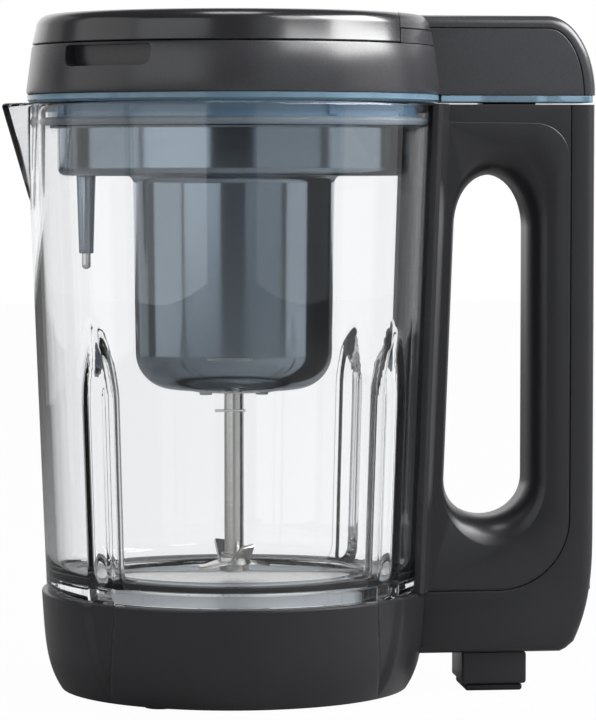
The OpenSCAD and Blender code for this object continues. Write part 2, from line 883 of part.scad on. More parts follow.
// The rounded rim of the lid's top, as high as the arm's cover
module cover_cap() {
  rise = sqrt(pow(cover_round, 2) - pow(cover_round - arm_cover_t, 2));
  rotate_extrude()
    polygon(concat([[0, 0]],
                   [for (p = arc(cover_top_r - cover_round, arm_cover_t - cover_round,
                                 cover_round, cover_round,
                                 asin((cover_round - arm_cover_t) / cover_round), 90)) p],
                   [[0, arm_cover_t]]));
}

module lid_top_cover() {
  roof = panel_z - 1.5;
  fit = 0.2;
  color(piano) {
    beyond_chord(-1) rotate_extrude()
      polygon(concat([[band_top_r, cover_z]],
                     arc(cover_top_r - cover_round, lid_top_z - cover_round,
                         cover_round, cover_round, 0, 90),
                     [[panel_r + fit, lid_top_z], [panel_r + fit, panel_z], [panel_r - ledge, panel_z],
                      [panel_r - ledge, roof]],
                     [[cover_top_r - cover_round, roof],
                      [cover_top_r - lid_wall, lid_top_z - cover_round],
                      [band_top_r - lid_wall, cover_z]]));
    for (x = [-1, 1], y = [-1, 1]) translate([x * board_pin, y * board_pin, 0]) {
      translate([0, 0, board_z + board_t]) cylinder(r = 2.5, h = roof - board_z - board_t);
      translate([0, 0, board_z - 1]) cylinder(r = 1.2, h = board_t + 2);
    }
  }
}

module control_panel() {
  color([0.06, 0.06, 0.07]) translate([0, 0, panel_z]) difference() {
    cylinder(r = panel_r, h = panel_t);
    for (p = button_places) translate([p[0], p[1], -cut])
      cylinder(r = button_r + move_gap, h = panel_t + 2 * cut);
    translate([display_x, 0, -cut]) block([display_size[0], display_size[1], panel_t + 2 * cut]);
  }
}

module display_window() {
  color([0.10, 0.13, 0.16, 0.8]) {
    translate([display_x, 0, panel_z]) block([display_size[0], display_size[1], panel_t - 0.2]);
    translate([display_x, 0, panel_z - 1.2]) block([display_size[0] + 4, display_size[1] + 4, 1.2]);
  }
}

module control_board() {
  top = board_z + board_t;
  color([0.15, 0.38, 0.22]) difference() {
    translate([0, 0, board_z]) block([2 * board_half, 2 * board_half, board_t]);
    for (x = [-1, 1], y = [-1, 1]) translate([x * board_pin, y * board_pin, board_z - cut])
      cylinder(r = 1.3, h = board_t + 2 * cut);
  }
  color([0.20, 0.20, 0.22]) {
    for (p = button_places) translate([p[0], p[1], top]) block([6, 6, switch_h]);
    translate([display_x, 0, top]) block([display_size[0] - 2, display_size[1] - 2, 5.6]);
    translate([0, 22, board_z - 7]) block([18, 14, 7]);
    translate([0, -20, board_z - 1.5]) block([12, 12, 1.5]);
  }
}

module button(p) {
  flange_z = panel_z - move_gap - 1.5;
  stem_z = board_z + board_t + switch_h + button_travel + 0.2;
  translate([p[0], p[1], 0]) {
    translate([0, 0, flange_z]) cylinder(r = button_r + 1.4, h = 1.5);
    translate([0, 0, flange_z]) cylinder(r = button_r, h = panel_z + panel_t + button_proud - flange_z);
    translate([0, 0, stem_z]) cylinder(r = 2, h = flange_z - stem_z + cut);
  }
}

module mode_button() { color([0.80, 0.80, 0.81]) button(button_places[0]); }
module start_button() { color([0.85, 0.85, 0.86]) button(button_places[1]); }
module portion_button() { color([0.80, 0.80, 0.81]) button(button_places[2]); }

module lid_tray() {
  edge = 0.4;
  color(clear_blue) difference() {
    union() {
      translate([0, 0, tray_z]) cylinder(r = band_low_r - edge, h = tray_t);
      translate([chord_x, -handle_w / 2 + edge, tray_z])
        cube([handle_back_x - chord_x - 1, handle_w - 2 * edge, tray_t]);
      translate([0, 0, skirt_z]) ring(skirt_r, skirt_r - skirt_t, skirt_h + cut);
      polar(skirt_tabs, skirt_r - 1) translate([0, -2, skirt_z + 4]) cube([2.4, 4, skirt_h - 4 + cut]);
      polar(boss_angles, lid_screw_ring) translate([0, 0, skirt_z]) cylinder(r = boss_r, h = skirt_h + cut);
    }
    translate([0, 0, tray_z - cut]) cylinder(r = tray_hole_r, h = tray_t + 2 * cut);
    polar(boss_angles, lid_screw_ring) translate([0, 0, skirt_z - cut]) cylinder(r = screw_r, h = 20);
    lid_screw_places(tray_z - cut) {
      cylinder(r = screw_r, h = tray_t + 2 * cut);
      cylinder(r = screw_head_r + 0.2, h = cut + 1.2);
    }
    translate([plug_x, 0, tray_z - cut]) block([plug_size[0], plug_size[1], tray_t + 2 * cut]);
  }
}

module lid_seal() {
  out_r = jug_in_r(skirt_z) - move_gap;
  color([0.80, 0.85, 0.88]) translate([0, 0, skirt_z])
    rotate_extrude()
      polygon([[skirt_r, 0], [out_r - 1.5, 0], [out_r, 1.2], [out_r, 2], [skirt_r + 1.5, 3.2],
               [skirt_r, 3.2]]);
}

module lid_screws() {
  color(steel)
    lid_screw_places(tray_z + 1.2) screw(tray_t + lid_boss_h - 4, head_h = 1.2);
}

// ---------- motor housing ----------

// Outline of the housing from its rim down to the axis, drawn in by d
function housing_outline(d) = concat(
  [[shroud_r - d, skirt_z]],
  arc(shroud_r - 3.5, neck_z + 3.5, 3.5 - d, 3.5 - d, 360, 270),
  arc(neck_r + 3, neck_z - 3, -3 - d, 3 + d, 90, 0),
  arc(neck_r - neck_draft - neck_round, neck_low_z + neck_round, neck_round - d, neck_round - d, 360, 270),
  [[0, neck_low_z + d]]);

module motor_housing() {
  rim_r = skirt_r - 0.2;
  color(piano) difference() {
    union() {
      rotate_extrude() difference() {
        polygon(concat(housing_outline(0), [[0, skirt_z]]));
        polygon(concat(housing_outline(house_wall), [[0, skirt_z]]));
      }
      translate([0, 0, skirt_z - rim_t]) ring(rim_r, shroud_r - house_wall, rim_t);
      polar(boss_angles, lid_screw_ring) translate([0, 0, skirt_z - house_boss_h])
        cylinder(r = boss_r, h = house_boss_h);
      translate([0, 0, neck_low_z]) cylinder(r = seal_r + 1.6, h = house_wall + seal_h - 0.5);
      for (side = [-1, 1]) translate([side * plate_screw_x, 0, neck_low_z]) cylinder(r = 3, h = 7);
    }
    translate([0, 0, neck_low_z - cut]) cylinder(r = shaft_r + 1.2, h = 12);
    translate([0, 0, seal_z]) cylinder(r = seal_r, h = seal_h + cut);
    polar(boss_angles, lid_screw_ring) translate([0, 0, skirt_z - 12]) cylinder(r = screw_r, h = 13);
    for (side = [-1, 1]) translate([side * plate_screw_x, 0, neck_low_z - cut]) cylinder(r = 1.3, h = 7);
    translate([-probe_x, 0, neck_z - cut]) cylinder(r = 3, h = house_wall + 2 * cut);
  }
}

module housing_screws() {
  color(steel)
    polar(boss_angles, lid_screw_ring) translate([0, 0, band_z]) mirror([0, 0, 1])
      screw(tray_t + skirt_h + 10);
}

module overflow_sleeve() {
  color([0.14, 0.14, 0.15]) translate([-probe_x, 0, 0]) difference() {
    union() {
      translate([0, 0, neck_z - sleeve_h]) cylinder(r1 = 3, r2 = 4, h = sleeve_h);
      translate([0, 0, neck_z - cut]) cylinder(r = 3, h = house_wall + 3);
    }
    translate([0, 0, neck_z - sleeve_h - cut]) cylinder(r = probe_r, h = sleeve_h + 10);
  }
}

module overflow_probe() {
  color(steel) translate([-probe_x, 0, neck_z - probe_h]) {
    translate([0, 0, probe_r]) cylinder(r = probe_r, h = probe_h + 8);
    translate([0, 0, probe_r]) sphere(r = probe_r, $fn = 32);
  }
}

module shaft_plate() {
  color(steel) translate([0, 0, neck_low_z - 1.2]) difference() {
    cylinder(r = plate_screw_x + 5.3, h = 1.2);
    translate([0, 0, -cut]) cylinder(r = shaft_r + 0.8, h = 2 + cut);
    for (side = [-1, 1]) translate([side * plate_screw_x, 0, -cut]) cylinder(r = 1.3, h = 2 + cut);
  }
}

module shaft_plate_screws() {
  color(steel) for (side = [-1, 1])
    translate([side * plate_screw_x, 0, neck_low_z - 1.2]) screw(7, 1.3, 2.6, 1.5);
}

module shaft_seal() {
  color([0.65, 0.20, 0.15]) translate([0, 0, seal_z]) ring(seal_r, shaft_r + run_gap, seal_h);
}

// ---------- motor ----------

module motor_damper() {
  color([0.15, 0.15, 0.15])
    for (z = [stator_z + 3, stator_z + stack_h - 9]) translate([0, 0, z])
      ring(neck_r - neck_draft - house_wall, stator_r, 6);
}

// A bracket is a plate with a bearing seat, and a wall that meets the stator
module bracket(wall_h) {
  seat_r = bearing_r + 2;
  difference() {
    union() {
      cylinder(r = stator_r, h = bracket_h);
      ring(stator_r, stator_r - bracket_wall, wall_h);
      translate([0, 0, -bearing_h]) cylinder(r = seat_r, h = bearing_h + bracket_h);
    }
    translate([0, 0, -bearing_h - cut]) cylinder(r = bearing_r, h = bearing_h + cut);
    translate([0, 0, -cut]) cylinder(r = shaft_r + 1.5, h = bracket_h + 2 * cut);
    polar([0, 180], bolt_ring_r) translate([0, 0, -cut]) cylinder(r = bolt_r, h = wall_h + 2 * cut);
    polar([60, 120, 240, 300], (bearing_r + stator_r) / 2 + 1)
      translate([0, 0, -cut]) cylinder(r = 4, h = bracket_h + 2 * cut);
  }
}

module lower_bracket() {
  z = bearing_z + bearing_h;
  color([0.62, 0.63, 0.64]) translate([0, 0, z]) bracket(stator_z - z);
}

module upper_bracket() {
  color([0.62, 0.63, 0.64]) translate([0, 0, top_bearing_z]) mirror([0, 0, 1])
    bracket(top_bearing_z - stator_z - stack_h);
}

module bearing() {
  ring(bearing_r, shaft_r + run_gap, bearing_h);
}
module lower_bearing() { color(steel) translate([0, 0, bearing_z]) bearing(); }
module upper_bearing() { color(steel) translate([0, 0, top_bearing_z]) bearing(); }

// The space that one field coil takes, on the +Y side
module coil_space(grow_z) {
  difference() {
    translate([0, coil_y + coil_depth / 2, stator_z - grow_z])
      block([2 * coil_half_x, coil_depth, stack_h + 2 * grow_z]);
    translate([0, coil_y + coil_depth / 2, stator_z - (grow_z > 0 ? 0 : cut)])
      block([2 * (coil_half_x - coil_side), coil_depth + 2 * cut, stack_h + (grow_z > 0 ? 0 : 2 * cut)]);
  }
}

module stator() {
  color([0.45, 0.46, 0.48]) difference() {
    translate([0, 0, stator_z]) ring(stator_r, rotor_r + air_gap, stack_h);
    for (turn = [0, 180]) rotate(turn) coil_space(0);
    polar([0, 180], bolt_ring_r) translate([0, 0, stator_z - cut]) cylinder(r = bolt_r, h = stack_h + 2 * cut);
  }
}

module field_coils() {
  color(copper) for (turn = [0, 180]) rotate(turn) coil_space(coil_h - 2);
}

module brush_places() {
  for (turn = [90, 270]) rotate(turn) translate([0, 0, commutator_z + commutator_h / 2]) children();
}

// Each carbon brush slides in a brass holder
module brushes() {
  from = commutator_r + 1.5;
  to = sqrt(pow(stator_r - bracket_wall, 2) - pow(4, 2)) - 0.02;
  color([0.80, 0.65, 0.35]) brush_places() difference() {
    translate([from, -4, -4]) cube([to - from, 8, 8]);
    translate([from - cut, -2.5, -2.5]) cube([to - from - 1, 5, 5]);
  }
  color([0.20, 0.20, 0.20]) brush_places()
    translate([commutator_r + move_gap, -2.5, -2.5]) cube([11, 5, 5]);
}

module motor_bolts() {
  low = bearing_z + bearing_h;
  color(steel) polar([0, 180], bolt_ring_r) translate([0, 0, top_bearing_z]) mirror([0, 0, 1])
    screw(top_bearing_z - low, bolt_r, 3, 2);
}

// ---------- what turns ----------

module blade_shaft() {
  top = fan_z + fan_h + 3;
  color(steel) {
    translate([0, 0, shaft_low_z]) cylinder(r = shaft_r, h = top - shaft_low_z);
    translate([0, 0, collar_z]) cylinder(r = shaft_r + 1.4, h = collar_h);
  }
}

module rotor_core() {
  color([0.50, 0.42, 0.35]) difference() {
    union() {
      translate([0, 0, stator_z]) cylinder(r = rotor_r, h = stack_h);
      translate([0, 0, stator_z - 5]) cylinder(r = rotor_r - 3, h = stack_h + 10);
    }
    translate([0, 0, stator_z - 5 - cut]) cylinder(r = shaft_r, h = stack_h + 10 + 2 * cut);
    polar([for (i = [0 : 11]) 30 * i], rotor_r) translate([0, 0, stator_z - cut])
      block([2.4, 2, stack_h + 2 * cut]);
  }
}

module commutator() {
  color(copper) difference() {
    translate([0, 0, commutator_z]) ring(commutator_r, shaft_r, commutator_h);
    polar([for (i = [0 : 11]) 30 * i], commutator_r)
      translate([0, 0, commutator_z - cut]) block([1.2, 0.8, commutator_h + 2 * cut]);
  }
}

module cooling_fan() {
  color([0.85, 0.85, 0.82]) translate([0, 0, fan_z]) {
    ring(fan_r, shaft_r, 1.4);
    ring(shaft_r + 4, shaft_r, fan_h);
    polar([for (i = [0 : 8]) 40 * i], shaft_r + 3)
      translate([0, -0.6, 0]) cube([fan_r - shaft_r - 4, 1.2, fan_h]);
  }
}

// A wing leaves the hub flat and is then bent up (or down, if bend < 0)
module wing(bend) {
  rotate([0, -bend, 0]) linear_extrude(height = blade_t)
    polygon([[0, -blade_w / 2], [blade_reach - blade_hub_r, -blade_w / 2 + 1.5],
             [blade_reach - blade_hub_r + 1, blade_w / 2 - 3], [0, blade_w / 2]]);
}

module blade() {
  color([0.80, 0.80, 0.81]) difference() {
    union() {
      translate([0, 0, blade_z]) cylinder(r = blade_hub_r, h = 2 * blade_t);
      for (turn = [0, 180]) rotate(turn + 25) {
        translate([blade_hub_r - 1.5, 0, blade_z]) wing(-12);
        rotate(90) translate([blade_hub_r - 1.5, 0, blade_z + blade_t]) wing(38);
      }
    }
    translate([0, 0, blade_z - 4]) cylinder(r = shaft_r, h = 12);
  }
}

module blade_nut() {
  color(steel) translate([0, 0, blade_z - nut_h]) difference() {
    cylinder(r = nut_r, h = nut_h, $fn = 6);
    translate([0, 0, -cut]) cylinder(r = shaft_r, h = nut_h + 2 * cut);
  }
}

// ---------- the nodes ----------

jug();
plate_seal();
heating_plate();
heat_spreader();
heating_element();
thermostats();
thermostat_bracket();
clamp_ring();
clamp_screws();
base_housing();
base_cover();
base_screws();
base_feet();
power_board();
handle_shell();
handle_back_cover();
handle_heel();
heel_pad();
handle_screws();
handle_harness();
lid_socket();
socket_contacts();
power_inlet();
inlet_pins();
lid_body();
arm_cover();
lid_top_cover();
control_panel();
display_window();
control_board();
lid_tray();
lid_seal();
lid_plug();
plug_contacts();
lid_screws();
motor_housing();
housing_screws();
overflow_sleeve();
overflow_probe();
shaft_plate();
shaft_plate_screws();
shaft_seal();
motor_damper();
lower_bracket();
lower_bearing();
stator();
field_coils();
upper_bracket();
upper_bearing();
brushes();
motor_bolts();
blade_shaft();
rotor_core();
commutator();
cooling_fan();
blade();
blade_nut();
mode_button();
start_button();
portion_button();
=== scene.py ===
# %% [markdown]
# # A countertop soup maker
# A clear jug stands on a black heated base. A loop handle runs down its right
# side, and a lid lifts off with the motor, the blade and the controls.
# The frame brings in every part at its true size; this lesson gives the ones
# that show their moulded shapes and gives all of them their finishes.

# %% The frame
import math

import bmesh
import bpy
from mathutils import Matrix, Vector


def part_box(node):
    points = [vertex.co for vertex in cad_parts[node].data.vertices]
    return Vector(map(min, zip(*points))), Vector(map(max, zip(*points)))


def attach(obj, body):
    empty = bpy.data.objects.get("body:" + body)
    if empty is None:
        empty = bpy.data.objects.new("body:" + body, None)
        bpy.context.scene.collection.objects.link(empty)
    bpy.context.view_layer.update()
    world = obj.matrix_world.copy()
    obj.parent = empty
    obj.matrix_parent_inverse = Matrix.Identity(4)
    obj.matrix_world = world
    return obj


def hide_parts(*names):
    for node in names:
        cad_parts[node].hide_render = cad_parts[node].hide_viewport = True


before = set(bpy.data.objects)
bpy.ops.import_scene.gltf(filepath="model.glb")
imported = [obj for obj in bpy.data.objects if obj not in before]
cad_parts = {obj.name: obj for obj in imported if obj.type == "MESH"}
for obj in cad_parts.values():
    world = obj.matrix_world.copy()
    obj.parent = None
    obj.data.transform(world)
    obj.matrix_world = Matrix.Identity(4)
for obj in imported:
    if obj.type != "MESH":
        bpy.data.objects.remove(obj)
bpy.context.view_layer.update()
print("parts in the frame:", len(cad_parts))

# %% [markdown]
# Every size below is in millimetres, and Blender works in metres, so one
# factor turns the first into the second. A part's place is read from its box.

# %% Sizes that the parts share
MM = 0.001


def span(node):
    """Lowest and highest corner of a part, in millimetres."""
    return [[c / MM for c in corner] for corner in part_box(node)]


jug_low, jug_high = span("jug")
rim_z = jug_high[2]
rim_r = jug_high[0]
foot_z = jug_low[2]
base_low, base_high = span("base_housing")
foot_r = base_high[0] - 2.1
wall = 4.6
back_x = span("handle_back_cover")[1][0]
lid_top = span("arm_cover")[1][2]
band_low = span("lid_body")[0][2]
cover_low = span("lid_top_cover")[0][2]
tray_low = rim_z + 0.3
skirt_low = span("lid_tray")[0][2]
half_width = span("handle_back_cover")[1][1]
print("rim height", round(rim_z, 1), "rim radius", round(rim_r, 1), "lid top", round(lid_top, 1))


def jug_radius(z):
    """Outer radius of the jug's tapered wall."""
    return foot_r + (rim_r - foot_r) * (z - foot_z) / (rim_z - foot_z)


def smooth(t):
    """0 to 1 with soft ends."""
    t = min(1.0, max(0.0, t))
    return t * t * (3 - 2 * t)


# %% [markdown]
# ## Camera and light
# The camera stands about 1.45 m away at eye height, a few degrees round
# towards the spout side. A long lens keeps the jug's sides nearly parallel.
# Clear plastic on white needs bright panels with a dark slit between them:
# two panels stand on either side of the camera, so the slit draws the dark
# line down the middle of every shiny upright cylinder.

# %% Camera
distance = 1450
turn = math.radians(-6)
pitch = math.radians(3.24)
look_right, look_up = 26.6, 137.8
right = Vector((math.cos(turn), math.sin(turn), 0))
back = Vector((math.sin(turn) * math.cos(pitch), -math.cos(turn) * math.cos(pitch), math.sin(pitch)))
target = (right * look_right + Vector((0, 0, look_up))) * MM

lens = bpy.data.cameras.new("camera")
lens.sensor_width = 36
lens.lens = 174.7
camera = bpy.data.objects.new("camera", lens)
bpy.context.collection.objects.link(camera)
camera.location = target + back * distance * MM
camera.rotation_mode = "QUATERNION"
camera.rotation_quaternion = (-back).to_track_quat("-Z", "Y")
bpy.context.scene.camera = camera
bpy.context.scene.view_settings.view_transform = "Standard"
print("camera height in mm:", round(camera.location.z / MM))


# %% Soft panels
def panel(name, side, height, away, size, brightness, tint=(1, 1, 1)):
    """A square-on soft light, side degrees round from the camera and height degrees up."""
    a, e = turn + math.radians(side), math.radians(height)
    out = Vector((math.sin(a) * math.cos(e), -math.cos(a) * math.cos(e), math.sin(e)))
    data = bpy.data.lights.new(name, "AREA")
    data.shape = "RECTANGLE"
    data.size, data.size_y = size[0] * MM, size[1] * MM
    data.energy = brightness * math.pi * data.size * data.size_y
    data.color = tint
    light = bpy.data.objects.new(name, data)
    bpy.context.collection.objects.link(light)
    light.location = Vector((0, 0, look_up * MM)) + out * away * MM
    light.rotation_mode = "QUATERNION"
    light.rotation_quaternion = (-out).to_track_quat("-Z", "Y")
    return light


panel("left_front", -35, 4, 1500, (1180, 1700), 1.0, (0.95, 0.97, 1))
panel("left_side", -80, 4, 1200, (900, 1700), 0.7)
panel("right_front", 35, 4, 1500, (1180, 1700), 0.40, (0.92, 0.97, 1))
panel("right_side", 84, 4, 1200, (950, 1400), 0.75)
panel("back_left", -128, 4, 1300, (600, 1700), 0.3)
panel("back_right", 132, 4, 1300, (600, 1300), 0.6)
panel("high_right", 80, 38, 1100, (760, 560), 12)
panel("key", 44, 40, 1200, (480, 480), 6)
panel("overhead", 0, 78, 1300, (400, 400), 5)

# %% [markdown]
# ## Materials
# One function turns a hex colour into the linear values that shaders use,
# and one adds a node with its settings and links. Each finish then gets a
# short function of its own, named after the real material.


# %% Colour and node helpers
def linear(code):
    """A hex colour as the linear red, green, blue and alpha that a shader takes."""
    parts = [int(code[i:i + 2], 16) / 255 for i in (1, 3, 5)]
    return [c / 12.92 if c < 0.04045 else ((c + 0.055) / 1.055) ** 2.4 for c in parts] + [1.0]


def add(tree, kind, settings=None, links=None):
    """Adds a node. settings fills properties or sockets, links feeds sockets from other nodes."""
    node = tree.nodes.new(kind)
    for key, value in (settings or {}).items():
        if isinstance(key, str) and hasattr(node, key):
            setattr(node, key, value)
        else:
            node.inputs[key].default_value = value
    for key, source in (links or {}).items():
        tree.links.new(source, node.inputs[key])
    return node


def finish_of(name, colour, roughness, metallic=0.0, **sockets):
    """A new material with its Principled shader: returns (material, tree, shader)."""
    material = bpy.data.materials.new(name)
    material.use_nodes = True
    tree = material.node_tree
    shader = tree.nodes["Principled BSDF"]
    shader.inputs["Base Color"].default_value = linear(colour)
    shader.inputs["Roughness"].default_value = roughness
    shader.inputs["Metallic"].default_value = metallic
    for key, value in sockets.items():
        shader.inputs[key.replace("_", " ")].default_value = value
    material.diffuse_color = linear(colour)
    return material, tree, shader


def grain(tree, size, detail=3.0, stretch=(1, 1, 1)):
    """Noise whose lumps are size millimetres across; stretch pulls it out along an axis."""
    place = add(tree, "ShaderNodeTexCoord")
    scale = add(tree, "ShaderNodeMapping", {"Scale": stretch}, {"Vector": place.outputs["Object"]})
    return add(tree, "ShaderNodeTexNoise", {"Scale": 1 / (size * MM), "Detail": detail},
               {"Vector": scale.outputs["Vector"]})


def roughen(tree, shader, noise, height, low, high):
    """The noise lifts the surface by height millimetres and moves the roughness between two values."""
    bump = add(tree, "ShaderNodeBump", {"Strength": 1.0, "Distance": height * MM},
               {"Height": noise.outputs["Fac"]})
    tree.links.new(bump.outputs["Normal"], shader.inputs["Normal"])
    spread = add(tree, "ShaderNodeMapRange", {"To Min": low, "To Max": high},
                 {"Value": noise.outputs["Fac"]})
    tree.links.new(spread.outputs["Result"], shader.inputs["Roughness"])


def tone(tree, shader, noise, dark, light):
    """The noise mixes two close colours, as pigment and handling do."""
    mix = add(tree, "ShaderNodeMix", {"data_type": "RGBA"}, {0: noise.outputs["Fac"]})
    mix.inputs[6].default_value, mix.inputs[7].default_value = linear(dark), linear(light)
    tree.links.new(mix.outputs[2], shader.inputs["Base Color"])


# %% [markdown]
# The casing is ABS, moulded in a tool with a very fine spark-eroded grain.
# The grain is about 0.3 mm across; it makes wide, soft highlights.

# %% Moulded plastics
def moulded(name, dark, light, size, height, low, high, **sockets):
    """An opaque plastic with the fine texture of its mould."""
    material, tree, shader = finish_of(name, dark, low, IOR=1.5, **sockets)
    noise = grain(tree, size)
    roughen(tree, shader, noise, height, low, high)
    tone(tree, shader, grain(tree, size * 40), dark, light)
    return material


abs_black = moulded("abs_black_grained", "#1e1e20", "#242427", 0.35, 0.003, 0.26, 0.34)
abs_lid = moulded("abs_graphite_grained", "#2b2b2e", "#333337", 0.3, 0.003, 0.24, 0.32, Coat_Weight=0.5,
                  Coat_Roughness=0.25)
abs_top = moulded("abs_black_fine", "#1c1c1e", "#222225", 0.25, 0.002, 0.2, 0.26, Coat_Weight=0.8,
                  Coat_Roughness=0.16)
abs_gloss = moulded("abs_piano_black", "#161618", "#19191b", 6, 0.002, 0.10, 0.14, Coat_Weight=0.4,
                    Coat_Roughness=0.05)
abs_light = moulded("abs_button_silver", "#b9babd", "#c4c5c8", 0.3, 0.003, 0.3, 0.4)
nylon_fan = moulded("nylon_fan_white", "#d4d3cc", "#dddcd6", 0.5, 0.004, 0.4, 0.5)
phenolic = moulded("phenolic_cream", "#d8d0b8", "#e2dac4", 0.6, 0.006, 0.4, 0.55)
rubber_black = moulded("nitrile_rubber", "#141414", "#1b1b1b", 0.5, 0.012, 0.6, 0.75)
silicone_red = moulded("silicone_oxide_red", "#8a2c1c", "#96351f", 0.5, 0.005, 0.45, 0.55)
silicone_wire = moulded("silicone_wire_sleeve", "#7c1a14", "#8a2018", 0.8, 0.02, 0.5, 0.6)

# %% [markdown]
# The motor housing hangs in the jug. Its ABS is sprayed with a lacquer that
# holds fine aluminium flake, which reflects like a dull metal.


# %% Flake lacquer and metals
def metal(name, dark, light, size, stretch, low, high, height=0.003):
    """A bare or flake-coated metal with fine marks, drawn out along an axis where it was brushed."""
    material, tree, shader = finish_of(name, dark, low, 1.0)
    noise = grain(tree, size, 4.0, stretch)
    roughen(tree, shader, noise, height, low, high)
    tone(tree, shader, noise, dark, light)
    return material


flake_grey = metal("aluminium_flake_lacquer", "#8a96a0", "#94a0aa", 0.25, (1, 1, 1), 0.11, 0.15, 0.0003)
steel_turned = metal("stainless_turned", "#d9d7d3", "#e6e4e0", 0.4, (0.05, 0.05, 1), 0.16, 0.30)
steel_spun = metal("stainless_spun_plate", "#cfcecc", "#dddcda", 0.8, (1, 1, 0.1), 0.22, 0.36)
zinc_screw = metal("zinc_plated_steel", "#a9adb0", "#c0c3c5", 1.0, (1, 1, 1), 0.25, 0.4)
cast_metal = metal("aluminium_die_cast", "#9a9c9e", "#adafb1", 1.2, (1, 1, 1), 0.4, 0.6, 0.02)
scaled_steel = metal("steel_heat_tinted", "#5d5247", "#7a6e60", 3.0, (1, 1, 1), 0.35, 0.5)
laminated = metal("silicon_steel_stack", "#5f6366", "#83878a", 0.5, (0.02, 0.02, 1), 0.3, 0.5, 0.03)
copper_wire = metal("copper_enamelled_wire", "#9c4a20", "#c87a44", 0.5, (0.05, 0.05, 1), 0.25, 0.4, 0.05)
brass_plain = metal("brass_plain", "#a98c4c", "#c2a660", 0.8, (1, 1, 0.3), 0.25, 0.4)


# %% [markdown]
# The jug is a clear copolyester, injection moulded and polished. It bends
# light a little more than water does. Lamp light has to get inside, so
# shadow rays pass straight through. The lid's tray is the same plastic with a
# blue-grey tint.

# %% Clear plastics
def clear(name, colour, roughness, ior, wave=0.004, through_share=1.0):
    """A see-through plastic: real refraction for the eye, a plain tint for shadows."""
    material, tree, shader = finish_of(name, colour, roughness, Transmission_Weight=through_share, IOR=ior)
    bump = add(tree, "ShaderNodeBump", {"Distance": wave * MM, "Strength": 1.0},
               {"Height": grain(tree, 18, 1.0).outputs["Fac"]})
    tree.links.new(bump.outputs["Normal"], shader.inputs["Normal"])
    through = add(tree, "ShaderNodeBsdfTransparent", {"Color": linear(colour)})
    path = add(tree, "ShaderNodeLightPath")
    mix = add(tree, "ShaderNodeMixShader", {}, {0: path.outputs["Is Shadow Ray"], 1: shader.outputs["BSDF"],
                                                2: through.outputs["BSDF"]})
    tree.links.new(mix.outputs["Shader"], tree.nodes["Material Output"].inputs["Surface"])
    return material


copolyester = clear("copolyester_polished", "#fcfdfe", 0.0, 1.46)
copolyester_blue = clear("copolyester_blue_grey", "#8fb0c6", 0.12, 1.54, through_share=0.6)
silicone_clear = clear("silicone_milky", "#b4b8bb", 0.35, 1.42, through_share=0.85)
window_dark = clear("acrylic_smoked", "#20252c", 0.02, 1.49)


# %% Circuit board
def board_finish():
    """Green solder mask over copper tracks, which stand 0.035 mm high; here they are about 2 mm wide."""
    material, tree, shader = finish_of("fr4_solder_mask", "#14542c", 0.35)
    place = add(tree, "ShaderNodeTexCoord")
    tracks = add(tree, "ShaderNodeTexVoronoi", {"Scale": 250.0, "distance": "MANHATTAN"},
                 {"Vector": place.outputs["Object"]})
    mix = add(tree, "ShaderNodeMix", {"data_type": "RGBA"}, {0: tracks.outputs["Distance"]})
    mix.inputs[6].default_value, mix.inputs[7].default_value = linear("#0f3f22"), linear("#2c7a46")
    tree.links.new(mix.outputs[2], shader.inputs["Base Color"])
    bump = add(tree, "ShaderNodeBump", {"Distance": 0.035 * MM}, {"Height": tracks.outputs["Distance"]})
    tree.links.new(bump.outputs["Normal"], shader.inputs["Normal"])
    return material


circuit_green = board_finish()
print("materials:", len(bpy.data.materials))

# %% [markdown]
# ## Shaping tools
# A moulded piece is either turned (a profile swept round the axis) or cut from an outline with soft edges.
# `rounded` softens an outline's corners, `lathe` turns a profile, and `piece` makes the object, sets it on the
# part of the frame that carries it, and hides the plain part it stands for.


# %% Shaping tools
def rounded(corners, steps=6, closed=True):
    """An outline through (x, y, radius) corners with each corner rounded."""
    points = []
    for i, (x, y, radius) in enumerate(corners):
        here = Vector((x, y))
        if radius <= 0 or (not closed and i in (0, len(corners) - 1)):
            points.append((x, y))
            continue
        before = Vector(corners[i - 1][:2]) - here
        after = Vector(corners[(i + 1) % len(corners)][:2]) - here
        reach = radius / math.tan(before.angle(after) / 2)
        reach = min(reach, before.length * 0.49, after.length * 0.49)
        a, b = here + before.normalized() * reach, here + after.normalized() * reach
        for k in range(steps + 1):
            t = k / steps
            points.append(tuple(a * (1 - t) ** 2 + here * 2 * t * (1 - t) + b * t * t))
    return points


def lathe(profile, turns=128):
    """A closed profile of (radius, z) turned round Z: (corners, faces)."""
    rings, corners, faces = [], [], []
    for r, z in profile:
        count = 1 if r < 0.001 else turns
        rings.append([len(corners) + k for k in range(count)])
        for k in range(count):
            a = 2 * math.pi * k / turns
            corners.append((r * math.cos(a), r * math.sin(a), z))
    for low, high in zip(rings, rings[1:] + rings[:1]):
        if len(low) == len(high) == 1:
            continue
        for k in range(turns):
            n = (k + 1) % turns
            face = [low[k % len(low)], low[n % len(low)], high[n % len(high)], high[k % len(high)]]
            faces.append(list(dict.fromkeys(face)))
    return corners, faces


def moved(part, shift=(0, 0, 0), spin=0.0):
    """A copy of (corners, faces), spun by degrees about Z and then shifted."""
    matrix = Matrix.Translation(shift) @ Matrix.Rotation(math.radians(spin), 4, "Z")
    return [tuple(matrix @ Vector(c)) for c in part[0]], part[1]


def joined(*parts):
    """Several (corners, faces) as one."""
    corners, faces = [], []
    for more_corners, more_faces in parts:
        faces += [[i + len(corners) for i in face] for face in more_faces]
        corners += more_corners
    return corners, faces


